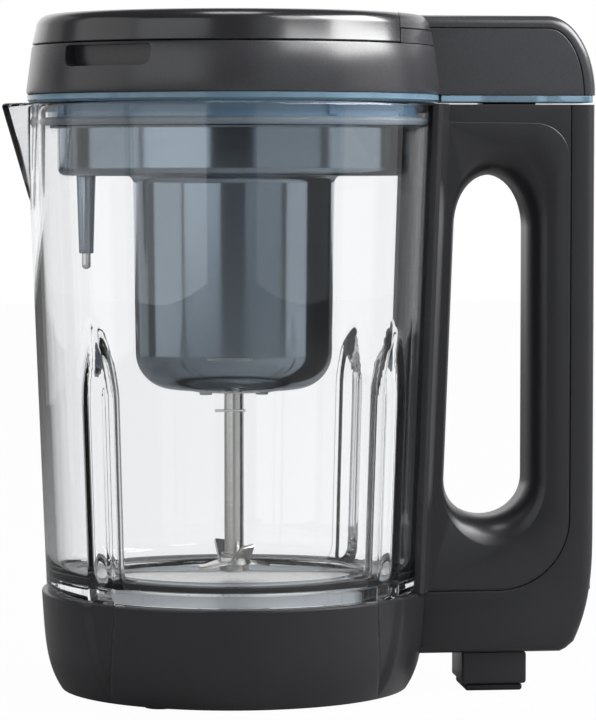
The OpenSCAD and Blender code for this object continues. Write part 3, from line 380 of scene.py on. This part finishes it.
def shrunk(outline, insets):
    """A closed outline with each edge moved in by its own amount. Edge i runs from point i to the next."""
    n = len(outline)
    area = sum(outline[i - 1][0] * outline[i][1] - outline[i][0] * outline[i - 1][1] for i in range(n))
    side = 1 if area > 0 else -1
    result = []
    for i, (x, y) in enumerate(outline):
        before = (Vector((x, y)) - Vector(outline[i - 1])).normalized()
        after = (Vector(outline[(i + 1) % n]) - Vector((x, y))).normalized()
        in_before, in_after = Vector((-before.y, before.x)) * side, Vector((-after.y, after.x)) * side
        a, b = insets[i - 1], insets[i]
        if abs(before.cross(after)) < 0.05:
            move = (in_before + in_after).normalized() * (a + b) / 2
        else:
            move = in_before * a + before * (b - a * in_before.dot(in_after)) / before.dot(in_after)
        result.append((x + move.x, y + move.y))
    return result


def piece(name, part, body, material, stands_for=(), sharp=35):
    """Makes the object from (corners, faces) in millimetres and sets it on its body."""
    mesh = bpy.data.meshes.new(name)
    mesh.from_pydata([[c * MM for c in corner] for corner in part[0]], [], part[1])
    tidy = bmesh.new()
    tidy.from_mesh(mesh)
    bmesh.ops.remove_doubles(tidy, verts=tidy.verts, dist=0.002 * MM)
    bmesh.ops.recalc_face_normals(tidy, faces=tidy.faces)
    tidy.to_mesh(mesh)
    tidy.free()
    mesh.shade_smooth()
    mesh.set_sharp_from_angle(angle=math.radians(sharp))
    made = bpy.data.objects.new(name, mesh)
    bpy.context.collection.objects.link(made)
    mesh.materials.append(material)
    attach(made, body)
    if stands_for:
        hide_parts(*stands_for)
    print(name, len(mesh.polygons), "faces")
    return made


def carve(target, part):
    """Cuts a closed shape of (corners, faces) out of an object."""
    cutter_mesh = bpy.data.meshes.new("cutter")
    cutter_mesh.from_pydata([[c * MM for c in corner] for corner in part[0]], [], part[1])
    tidy = bmesh.new()
    tidy.from_mesh(cutter_mesh)
    bmesh.ops.recalc_face_normals(tidy, faces=tidy.faces)
    tidy.to_mesh(cutter_mesh)
    tidy.free()
    cutter = bpy.data.objects.new("cutter", cutter_mesh)
    bpy.context.collection.objects.link(cutter)
    change = target.modifiers.new("carve", "BOOLEAN")
    change.operation, change.object, change.solver = "DIFFERENCE", cutter, "EXACT"
    change.use_self = True
    seen = target.evaluated_get(bpy.context.evaluated_depsgraph_get())
    result = bpy.data.meshes.new_from_object(seen)
    target.modifiers.remove(change)
    target.data = result
    result.shade_smooth()
    result.set_sharp_from_angle(angle=math.radians(35))
    bpy.data.objects.remove(cutter)


def block(low, high):
    """A box as (corners, faces)."""
    (x0, y0, z0), (x1, y1, z1) = low, high
    corners = [(x, y, z) for z in (z0, z1) for x, y in ((x0, y0), (x1, y0), (x1, y1), (x0, y1))]
    return corners, [[3, 2, 1, 0], [4, 5, 6, 7], [0, 1, 5, 4], [1, 2, 6, 5], [2, 3, 7, 6], [3, 0, 4, 7]]


def slab(outline, low, high, soft, steps=5):
    """An outline between two heights. soft is how far its edges are rounded: one value, or one for each edge."""
    n = len(outline)
    soft = soft if isinstance(soft, list) else [soft] * n
    rows = []
    for k in range(steps + 1):
        a = math.pi / 2 * k / steps
        flat = shrunk(outline, [s * (1 - math.sin(a)) for s in soft])
        rows.append([(x, y, max(soft[i - 1], soft[i]) * (1 - math.cos(a))) for i, (x, y) in enumerate(flat)])
    rows = [[(x, y, low + rise) for x, y, rise in row] for row in rows] + \
        [[(x, y, high - rise) for x, y, rise in row] for row in reversed(rows)]
    corners = [corner for row in rows for corner in row]
    faces = [[r * n + k, r * n + (k + 1) % n, (r + 1) * n + (k + 1) % n, (r + 1) * n + k]
             for r in range(len(rows) - 1) for k in range(n)]
    return corners, faces + [list(range(n))[::-1], [(len(rows) - 1) * n + k for k in range(n)]]


def stood(part):
    """Turns a slab drawn in X and Z, with its thickness along Y, the right way up."""
    return [(x, y, z) for x, z, y in part[0]], part[1]


def softened(node, body, slot, material, width, joint=30):
    """A copy of a plain part with every sharp edge rounded by width, as a mould or a tumbler leaves it."""
    source = bpy.data.objects[node].data
    mesh = source.copy()
    mesh.name = node + "_soft"
    mesh.materials.clear()
    mesh.materials.append(material)
    tidy = bmesh.new()
    tidy.from_mesh(mesh)
    bmesh.ops.remove_doubles(tidy, verts=tidy.verts, dist=0.002 * MM)
    bmesh.ops.dissolve_limit(tidy, angle_limit=math.radians(0.6), verts=tidy.verts, edges=tidy.edges)
    tidy.to_mesh(mesh)
    tidy.free()
    made = bpy.data.objects.new(node + "_soft", mesh)
    bpy.context.collection.objects.link(made)
    change = made.modifiers.new("soft edges", "BEVEL")
    change.width, change.segments, change.limit_method = width * MM, 3, "ANGLE"
    change.angle_limit = math.radians(joint)
    seen = made.evaluated_get(bpy.context.evaluated_depsgraph_get())
    result = bpy.data.meshes.new_from_object(seen)
    made.modifiers.clear()
    made.data = result
    result.shade_smooth()
    result.set_sharp_from_angle(angle=math.radians(40))
    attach(made, body)
    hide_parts(node)
    return made


# %% [markdown]
# ## The jug
# One grid of points makes the whole jug. Each row is a height on the closed
# profile: up the outside, over the rounded rim, down the inside and in along
# the floor. Each column is an angle, two thirds of a degree apart. The spout pulls the
# wall out into a V, and four flutes with pointed arches push both faces in.
# The inside face moves further than the outside one, so a flute is a rib too.

# %% Jug
floor_z = foot_z + 5.5
spout_height, spout_reach, spout_half = 41, -jug_low[0] - rim_r, 13
columns = 540
flute_top, flute_low = floor_z + 103, 5
flute_angles = (42, 138, 222, 318)
# Half width and depth of a flute on the jug's inside, on its outside and on the base
inner_flute, outer_flute, base_flute = (8.5, 6.0), (7.5, 2.6), (9.5, 2.4)


def spout_pull(angle, z):
    """How far the spout moves the wall out at this angle and height."""
    away = abs(angle % 360 - 180)
    rise = max(0.0, 1 - (rim_z - z) / spout_height)
    half = spout_half * (0.35 + 0.65 * rise)
    return spout_reach * rise * max(0.0, 1 - away / half) ** 1.15


def flute(angle, z, half, depth):
    """How far the four flutes move a wall in: a flat ridge with soft flanks, an arch above and a point below."""
    away = min(abs((angle - middle + 180) % 360 - 180) for middle in flute_angles)
    away *= math.pi / 180 * foot_r
    if z >= flute_top or z <= flute_low or away >= half:
        return 0.0
    narrow = min(1.0, math.sqrt((flute_top - z) / 24), math.sqrt((z - flute_low) / 34))
    return depth * smooth((flute_top - z) / 12) * smooth((half * narrow - away) / (0.45 * half))


def jug_shape():
    levels = [foot_z + 0.8 + (rim_z - 1.8 - foot_z - 0.8) * k / 56 for k in range(57)]
    profile = [(0, z, "out") for z in levels]
    for k in range(1, 8):
        a = math.pi * k / 8
        profile.append((2.3 - 2.3 * math.cos(a), rim_z - 1.8 + 1.8 * math.sin(a), "lip"))
    inside = [z for z in reversed(levels) if z > floor_z + 7]
    profile += [(wall, z, "in") for z in inside]
    for k in range(1, 9):
        a = math.pi / 2 * k / 8
        profile.append((wall + 7 - 7 * math.cos(a), floor_z + 7 - 7 * math.sin(a), "in"))
    hole = 53
    flats = [(66, floor_z), (hole + 0.6, floor_z), (hole, floor_z - 0.6), (hole, foot_z + 0.6),
             (hole + 0.6, foot_z), (jug_radius(foot_z) - 0.8, foot_z)]
    corners, turns = [], columns
    for inset, z, kind in profile:
        for k in range(turns):
            a = k * 360 / turns
            push = flute(a, z, *(inner_flute if kind == "in" else outer_flute))
            r = jug_radius(z) - inset + spout_pull(a, z) - push
            corners.append((r * math.cos(math.radians(a)), r * math.sin(math.radians(a)), z))
    for r, z in flats:
        corners += [(r * math.cos(2 * math.pi * k / turns), r * math.sin(2 * math.pi * k / turns), z)
                    for k in range(turns)]
    rows = len(profile) + len(flats)
    faces = [[r * turns + a, r * turns + (a + 1) % turns, (r + 1) % rows * turns + (a + 1) % turns,
              (r + 1) % rows * turns + a] for r in range(rows) for a in range(turns)]
    return corners, faces


piece("clear_jug", jug_shape(), "jug_and_base", copolyester, ["jug"], 50)


def fill_mark(z, half):
    """A low moulded dash that follows the jug's front."""
    rows = []
    for rise, out in ((-0.5, -0.2), (-0.3, 0.25), (0.3, 0.25), (0.5, -0.2)):
        r = jug_radius(z + rise) + out
        rows += [(r * math.sin(s / r + turn), -r * math.cos(s / r + turn), z + rise)
                 for s in [half * k / 8 for k in range(-8, 9)]]
    faces = [[r * 17 + k, r * 17 + k + 1, ((r + 1) % 4) * 17 + k + 1, ((r + 1) % 4) * 17 + k]
             for r in range(4) for k in range(16)]
    return rows, faces + [[0, 17, 34, 51], [16, 33, 50, 67]]


mark_clear = clear("copolyester_frosted_mark", "#dfe4e6", 0.25, 1.54)
piece("fill_marks", joined(fill_mark(142.5, 9), fill_mark(122.5, 6)), "jug_and_base", mark_clear)

# %% [markdown]
# ## The base
# The base is turned from one profile. The jug's flutes run on into it and
# end in a point near the floor.

# %% Base housing
base_floor = base_low[2]
base_wall = 2.6


def base_radius(z):
    t = (foot_z - z) / (foot_z - base_floor)
    return foot_r + 2.1 - 2.5 * t - 5.5 * t ** 4.5


def base_shape():
    top = foot_z
    outer = [base_floor + (top - 0.8 - base_floor) * k / 24 for k in range(25)]
    profile = [(base_radius(z), z, 1) for z in outer]
    profile += [(base_radius(top) - 0.25, top - 0.2, 1), (base_radius(top) - 0.9, top, 1),
                (62, top, 0), (62, top - 7, 0), (base_radius(top - 7) - base_wall, top - 7, 0)]
    lip = base_radius(base_floor) - base_wall
    profile += [(base_radius(z) - base_wall, z, 0) for z in (26, 16, 9, base_floor + 2.5)]
    profile += [(lip, base_floor + 2.5, 0), (lip, base_floor, 0)]
    corners, turns = [], columns
    for r, z, outside in profile:
        for k in range(turns):
            a = k * 360 / turns
            s = r - outside * flute(a, z, *base_flute)
            corners.append((s * math.cos(math.radians(a)), s * math.sin(math.radians(a)), z))
    rows = len(profile)
    return corners, [[r * turns + a, r * turns + (a + 1) % turns, (r + 1) % rows * turns + (a + 1) % turns,
                      (r + 1) % rows * turns + a] for r in range(rows) for a in range(turns)]


piece("base_moulding", base_shape(), "jug_and_base", abs_black, ["base_housing"], 20)

# %% [markdown]
# ## The handle
# The handle is a slab 38 mm wide. Its back edge is rounded by about 5 mm and
# curves in towards the floor. A raised panel lies on each side, with a
# shallow dish round the finger hole: wide above and below, narrow beside it.

# %% Handle
handle_low, handle_high = 16.5, rim_z - 0.5
seam_x, seam_z, seam_round = back_x - 10.6, foot_z - 0.7, 30


def back_edge(z):
    return back_x - 10 * max(0.0, (70 - z) / (70 - handle_low)) ** 3


def arc(cx, cz, rx, rz, a0, a1, steps=14):
    return [(cx + rx * math.cos(math.radians(a0 + (a1 - a0) * k / steps)),
             cz + rz * math.sin(math.radians(a0 + (a1 - a0) * k / steps))) for k in range(steps + 1)]


def shell_outline(inset, top):
    """The side panel's outline: the jug's slope on the left, a round corner below and above on the right."""
    left = [(jug_radius(z) + 1, z) for z in (top, seam_z + inset)]
    low = arc(seam_x - seam_round, seam_z + seam_round, seam_round - inset, seam_round - inset, 270, 360)
    return left + low + (arc(seam_x - 15, top - 15, 15 - inset, 15 - inset, 0, 90) if inset else
                         [(seam_x, top)])


def saddle():
    """The flanks that hug the jug: a band 24 degrees to either side of the handle."""
    corners, spread = [], [a for a in range(-24, 25)]
    for z in (foot_z, handle_high):
        for face in (0, 1):
            for a in spread:
                edge = min(1.0, (24 - abs(a)) / 1.2)
                out = 0.1 if face == 0 else 2.6 + 1.4 * math.sqrt(max(0.0, 1 - (1 - edge) ** 2))
                r = jug_radius(z) + out
                corners.append((r * math.cos(math.radians(a)), r * math.sin(math.radians(a)), z))
    n = len(spread)
    faces = []
    for k in range(n - 1):
        faces += [[n + k, n + k + 1, 3 * n + k + 1, 3 * n + k], [k, k + 1, 2 * n + k + 1, 2 * n + k],
                  [k, k + 1, n + k + 1, n + k], [2 * n + k, 2 * n + k + 1, 3 * n + k + 1, 3 * n + k]]
    return corners, faces + [[0, n, 3 * n, 2 * n], [n - 1, 2 * n - 1, 4 * n - 1, 3 * n - 1]]


hole_left = rim_r + 4.9
hole_right, hole_slant = hole_left + 31, 4
hole_low, hole_high, low_round, arch = 72.4, rim_z - 29.4, 16, 22


def hole_outline(left, right, low, high):
    """The finger hole grown by a margin on each side."""
    lower = arc((hole_left - hole_slant + hole_right) / 2 + (right - left) / 2, hole_low + low_round,
                (hole_right - hole_left + hole_slant + left + right) / 2, low_round + low, 180, 360, 24)
    upper = arc((hole_left + hole_right) / 2 + (right - left) / 2, hole_high - arch,
                (hole_right - hole_left + left + right) / 2, arch + high, 0, 180, 24)
    return lower + upper


def finger_hole():
    """The cutter for the hole: straight at the middle, then rolling out to both faces in a quarter ellipse."""
    throat, steps = 5, 12
    rows = [(half_width + 1, 1.15)]
    for k in range(steps, -1, -1):
        t = k / steps
        rows.append((throat + (half_width - throat) * t, 1 - math.sqrt(1 - (0.985 * t) ** 2)))
    rows += [(-y, part) for y, part in reversed(rows)]
    corners = []
    for y, part in rows:
        corners += [(x, y, z) for x, z in hole_outline(3 * part, 8 * part, 14 * part, 14 * part)]
    n = len(corners) // len(rows)
    faces = [[r * n + k, r * n + (k + 1) % n, (r + 1) * n + (k + 1) % n, (r + 1) * n + k]
             for r in range(len(rows) - 1) for k in range(n)]
    return corners, faces + [list(range(n)), [(len(rows) - 1) * n + k for k in range(n)]]


side_depth = 0.25
shell = piece("handle_side_shell", joined(
    stood(slab(shell_outline(0, handle_high), -half_width + side_depth, half_width - side_depth, 0.3)),
    stood(slab(shell_outline(0.45, handle_high - 7), -half_width, half_width, 0.5)),
    saddle()), "jug_and_base", abs_black, ["handle_shell"])
carve(shell, finger_hole())


def back_outline():
    """The back cover: the round back, the foot, and the seam that it shares with the shell."""
    rise = [handle_low + 4 + (70 - handle_low - 4) * k / 14 for k in range(15)]
    outer = [(back_x, handle_high)] + [(back_edge(z), z) for z in reversed(rise)]
    foot = [(back_edge(handle_low) - 1.2, handle_low + 1.2), (back_edge(handle_low) - 4, handle_low),
            (base_radius(handle_low) - 2.5, handle_low), (base_radius(30) - 2.5, 30),
            (base_radius(seam_z) - 2.5, seam_z - 0.3)]
    seam = arc(seam_x - seam_round, seam_z + seam_round, seam_round + 0.3, seam_round + 0.3, 270, 360)
    points = outer + foot + seam + [(seam_x + 0.3, handle_high)]
    soft = [5.0] * len(outer) + [4.0, 3.0] + [0.4] * (len(points) - len(outer) - 2)
    return points, soft


points, soft = back_outline()
piece("handle_back_shell", stood(slab(points, -half_width, half_width, soft)), "jug_and_base",
      abs_black, ["handle_back_cover"])

# %% [markdown]
# ## The lid
# The lower band is turned thick enough to hold two finger recesses. The arm
# reaches over the handle as a slab whose end is a quarter ellipse; its top
# skin is a separate cover, with a fine groove where the two meet.

# %% Lid band and arm
chord = (rim_r - 4.3) * math.cos(math.radians(40))
top_r = rim_r - 4.3
skin = 5
corner_x = 20.3


def band_profile():
    """The band's section: a small round below, a 2.5 mm lean over its height, a small round above."""
    low, high = rim_r - 0.1, rim_r - 2.6
    return [(73, band_low), (low - 1.2, band_low), (low - 0.4, band_low + 0.35), (low, band_low + 1.2),
            (high + 0.15, cover_low - 1.2), (high - 0.25, cover_low - 0.35), (high - 0.9, cover_low - 0.1),
            (73, cover_low - 0.1)]


def arm_end(inset, top_inset):
    """The arm's outline from the lid to the back: flat top, quarter ellipse, straight foot."""
    curve = arc(back_x - corner_x, band_low, corner_x - inset, lid_top - band_low - top_inset, 0, 90, 20)
    return [(chord + 0.3, band_low)] + curve + [(chord + 0.3, lid_top - top_inset)]


def recess(angle):
    """A pocket for the finger tips, 44 mm wide, with round lower corners and a rounded mouth."""
    outline = rounded([(-22, -8.5, 4), (22, -8.5, 4), (22, 0, 1.5), (-22, 0, 1.5)])
    part = slab([(x, z) for x, z in outline], 0, 16, 0.1, 1)
    corners = [(rim_r - 11 + depth, x, cover_low - 1.2 + z) for x, z, depth in part[0]]
    return moved((corners, part[1]), spin=angle)


body = piece("lid_band_and_arm", joined(
    lathe(band_profile(), 240),
    stood(slab(arm_end(skin + 0.35, skin + 0.35), -half_width, half_width, 0.35))),
    "lid", abs_lid, ["lid_body"])
for angle in (133, 227):
    carve(body, recess(angle))

# %% [markdown]
# Behind a straight seam, the rim of the lid's top belongs to the arm's cover.
# Both the glossy cover and this rear piece are turned whole and then cut
# along that seam.


# %% Covers
def crown(low, inner):
    """The section of the lid's top: a leaning side and a 5.5 mm round, down to an inner edge."""
    side = rim_r - 2.6 - 1.7 * (low - cover_low) / (lid_top - 5.5 - cover_low)
    curve = arc(top_r - 5.5, lid_top - 5.5, 5.5, 5.5, 4, 90, 12)
    return [(side - 2.5, low), (side - 0.35, low), (side, low + 0.35)] + curve + inner


panel_r = span("control_panel")[1][0]
panel_low = span("control_panel")[0][2]
cap = piece("satin_lid_top", lathe(crown(cover_low + 0.25, [
    (panel_r + 0.7, lid_top), (panel_r + 0.2, lid_top - 0.4), (panel_r + 0.2, panel_low - 0.05),
    (panel_r - 3, panel_low - 0.05), (panel_r - 3, panel_low - 1.5), (top_r - 5.5, panel_low - 1.5),
    (top_r - 2.6, lid_top - 5.5)]), 240), "lid", abs_top, ["lid_top_cover"])
carve(cap, slab(rounded([(chord - 0.15, 230, 0), (200, 230, 0), (200, -230, 0), (chord - 0.15, -230, 0)]),
                cover_low - 5, lid_top + 5, 0.01, 1))

rear = piece("arm_and_rear_cover", joined(
    lathe(crown(lid_top - skin - 1.6, [(66, lid_top), (66, lid_top - 2.5), (top_r - 5.5, lid_top - 2.5),
                                       (top_r - 2.6, lid_top - 5.5)]), 240),
    stood(slab(arm_end(0, 0)[1:] + [(chord + 0.3, lid_top - skin)] + arm_end(skin, skin)[1:-1][::-1],
               -half_width, half_width, [3.6] * 21 + [0.3] * 23))), "lid", abs_lid, ["arm_cover"])
carve(rear, block((-100, -100, lid_top - 20), (chord + 0.15, 100, lid_top + 5)))
rear_strip = piece("lid_rear_strip", lathe([(70, cover_low), (rim_r - 2.75, cover_low),
                                            (rim_r - 3.6, lid_top - skin - 1.9), (70, lid_top - skin - 1.9)], 240),
                   "lid", abs_lid)
carve(rear_strip, block((-100, -100, cover_low - 5), (chord + 0.15, 100, lid_top)))

# %% [markdown]
# The tray under the lid is tinted and see-through. Its flange closes the jug,
# its skirt goes down inside, and a pale silicone lip seals against the wall.

# %% Tray, seal and motor housing
skirt_r = rim_r - wall - 4.6
flange_r = rim_r - 0.5
tray = joined(
    lathe([(30, tray_low), (skirt_r - 2.5, tray_low), (skirt_r - 2.5, skirt_low), (skirt_r - 0.4, skirt_low),
           (skirt_r, skirt_low + 0.4), (skirt_r, tray_low), (flange_r - 0.8, tray_low), (flange_r, tray_low + 0.8),
           (flange_r, band_low - 0.3), (flange_r - 0.3, band_low - 0.02), (30, band_low - 0.02)], 240),
    slab(rounded([(84, -18.6, 0), (back_x - 1, -18.6, 3), (back_x - 1, 18.6, 3), (84, 18.6, 0)]),
         tray_low, band_low - 0.02, 0.5, 3),
    *[moved(block((skirt_r - 0.5, -2, skirt_low + 4), (skirt_r + 1.5, 2, tray_low)), spin=a)
      for a in (65, 155, 205, 295)])
piece("tinted_tray", tray, "lid", copolyester_blue, ["lid_tray"])
seal_r = span("lid_seal")[1][0]
piece("jug_seal", lathe([(skirt_r, skirt_low), (seal_r - 1.5, skirt_low), (seal_r - 0.4, skirt_low + 0.5),
                         (seal_r, skirt_low + 1.2), (seal_r, skirt_low + 2), (seal_r - 0.5, skirt_low + 2.5),
                         (skirt_r + 1.5, skirt_low + 3.2), (skirt_r, skirt_low + 3.2)], 240),
      "lid", silicone_clear, ["lid_seal"])

neck_low = span("motor_housing")[0][2]
shroud_low = skirt_low - 20.5
shroud_r, neck_r = skirt_r - 3.6, 41.7


def housing(inset):
    """The housing's section from its rim down to the axis: shroud, fillet, drafted neck, round end."""
    return [(shroud_r - inset, skirt_low - 0.1)] + \
        arc(shroud_r - 3.5, shroud_low + 3.5, 3.5 - inset, 3.5 - inset, 0, -90, 8) + \
        arc(neck_r + 3, shroud_low - 3, -3 - inset, 3 + inset, 90, 0, 8) + \
        arc(neck_r - 16, neck_low + 15, 15 - inset, 15 - inset, 0, -90, 16)


rim = [(skirt_r - 0.8, skirt_low - 0.05), (skirt_r - 0.2, skirt_low - 0.5), (skirt_r - 0.8, skirt_low - 1.2),
       (shroud_r, skirt_low - 1.3)]
shaft_hole = [(5.2, neck_low), (5.2, neck_low + 2.5)]
piece("flaked_motor_housing", lathe(rim + housing(0)[1:] + shaft_hole + housing(2.5)[::-1], 240),
      "lid", flake_grey, ["motor_housing"])

# %% [markdown]
# ## Shaft, blade and heating plate
# The shaft is ground, so its marks run round it. The plate is spun sheet.

# %% Turned metal
shaft_low, shaft_high = span("blade_shaft")
collar = shaft_low[2] + 7.1
piece("ground_shaft", lathe([(0, shaft_low[2]), (3.4, shaft_low[2]), (4, shaft_low[2] + 0.6), (4, collar),
                             (5.1, collar), (5.4, collar + 0.3), (5.4, collar + 1.5), (5.1, collar + 1.8),
                             (4, collar + 1.8), (4, shaft_high[2] - 0.5), (3.5, shaft_high[2]),
                             (0, shaft_high[2])], 64),
      "blade_drive", steel_turned, ["blade_shaft"])

soft_parts = [
    ("blade", "blade_drive", "stainless", steel_turned, 0.15),
    ("blade_nut", "blade_drive", "stainless", steel_turned, 0.4),
    ("shaft_plate", "lid", "stainless", steel_spun, 0.3),
    ("shaft_plate_screws", "lid", "screw_steel", zinc_screw, 0.25),
    ("overflow_sleeve", "lid", "black_plastic", flake_grey, 0.4),
    ("control_panel", "lid", "gloss_black", abs_gloss, 0.25),
    ("display_window", "lid", "window_tint", window_dark, 0.2),
    ("mode_button", "mode_key", "button_plastic", abs_light, 0.5),
    ("start_button", "start_key", "button_plastic", abs_light, 0.5),
    ("portion_button", "portion_key", "button_plastic", abs_light, 0.5),
    ("handle_heel", "jug_and_base", "black_plastic", abs_black, 2.5),
    ("heel_pad", "jug_and_base", "black_rubber", rubber_black, 1.2),
    ("base_feet", "jug_and_base", "black_rubber", rubber_black, 0.5),
    ("base_cover", "jug_and_base", "black_plastic", abs_black, 0.4),
    ("power_inlet", "jug_and_base", "black_plastic", abs_black, 0.4),
    ("lid_plug", "lid", "black_plastic", abs_black, 0.4),
    ("lid_socket", "jug_and_base", "black_plastic", abs_black, 0.3),
]
for row in soft_parts:
    softened(*row)
print("softened:", len(soft_parts))

# %% [markdown]
# ## Finishes for the parts that keep their plain shape
# Most of these are inside the base and the motor housing, and they show when
# the lid is off or the object is taken apart.

# %% Finishes
finish_for = {
    "plate_seal": silicone_clear, "heating_plate": steel_spun, "heat_spreader": cast_metal,
    "heating_element": scaled_steel, "thermostats": phenolic, "thermostat_bracket": steel_spun,
    "clamp_ring": cast_metal, "clamp_screws": zinc_screw, "base_screws": zinc_screw,
    "power_board": circuit_green, "handle_screws": zinc_screw, "handle_harness": silicone_wire,
    "socket_contacts": brass_plain, "inlet_pins": zinc_screw, "control_board": circuit_green,
    "plug_contacts": brass_plain, "lid_screws": zinc_screw, "housing_screws": zinc_screw,
    "overflow_probe": steel_turned, "shaft_seal": silicone_red, "motor_damper": rubber_black,
    "lower_bracket": cast_metal, "lower_bearing": zinc_screw, "stator": laminated,
    "field_coils": copper_wire, "upper_bracket": cast_metal, "upper_bearing": zinc_screw,
    "brushes": brass_plain, "motor_bolts": zinc_screw, "rotor_core": laminated,
    "commutator": copper_wire, "cooling_fan": nylon_fan,
}
for node, material in finish_for.items():
    mesh = bpy.data.objects[node].data
    for index in range(len(mesh.materials)):
        mesh.materials[index] = material
    if not mesh.materials:
        mesh.materials.append(material)
print("finished:", len(finish_for))

# %% [markdown]
# ## Floor and surroundings
# The floor and the air are white to the eye, but they light the object only
# a little, so the panels above decide what the plastic reflects. Only the wall
# straight behind the object is white for reflections too.


# %% Floor and surroundings
def straight_sight(tree):
    """1 where a surface is seen directly or through clear plastic, 0 where it lights something or is mirrored."""
    path = add(tree, "ShaderNodeLightPath")
    bounces = add(tree, "ShaderNodeMath", {"operation": "ADD"},
                  {0: path.outputs["Diffuse Depth"], 1: path.outputs["Glossy Depth"]})
    return add(tree, "ShaderNodeMath", {"operation": "LESS_THAN", 1: 0.5}, {0: bounces.outputs["Value"]})


floor_mesh = bpy.data.meshes.new("floor")
floor_mesh.from_pydata([(-4, -4, 0), (4, -4, 0), (4, 4, 0), (-4, 4, 0)], [], [[0, 1, 2, 3]])
floor = bpy.data.objects.new("floor", floor_mesh)
bpy.context.collection.objects.link(floor)
paper, tree, shader = finish_of("paper_grey", "#8c8c8c", 0.9)
seen = straight_sight(tree)
glow = add(tree, "ShaderNodeEmission", {"Color": linear("#ffffff"), "Strength": 1.0})
share = add(tree, "ShaderNodeMath", {"operation": "MULTIPLY_ADD", 1: 0.93, 2: 0.05}, {0: seen.outputs["Value"]})
mix = add(tree, "ShaderNodeMixShader", {}, {0: share.outputs["Value"], 1: shader.outputs["BSDF"],
                                            2: glow.outputs["Emission"]})
tree.links.new(mix.outputs["Shader"], tree.nodes["Material Output"].inputs["Surface"])
floor_mesh.materials.append(paper)

world = bpy.data.worlds.new("studio")
bpy.context.scene.world = world
world.use_nodes = True
tree = world.node_tree
seen = straight_sight(tree)
way = add(tree, "ShaderNodeTexCoord")
behind = add(tree, "ShaderNodeVectorMath", {"operation": "DOT_PRODUCT", 1: (-back.x, -back.y, 0)},
             {0: way.outputs["Generated"]})
wall_light = add(tree, "ShaderNodeMapRange", {"From Min": 0.68, "From Max": 0.86, "To Min": 0.05, "To Max": 1.0},
                 {"Value": behind.outputs["Value"]})
level = add(tree, "ShaderNodeMath", {"operation": "MAXIMUM"},
            {0: seen.outputs["Value"], 1: wall_light.outputs["Result"]})
tree.links.new(level.outputs["Value"], tree.nodes["Background"].inputs["Strength"])
tree.nodes["Background"].inputs["Color"].default_value = (1, 1, 1, 1)
print("world ready")
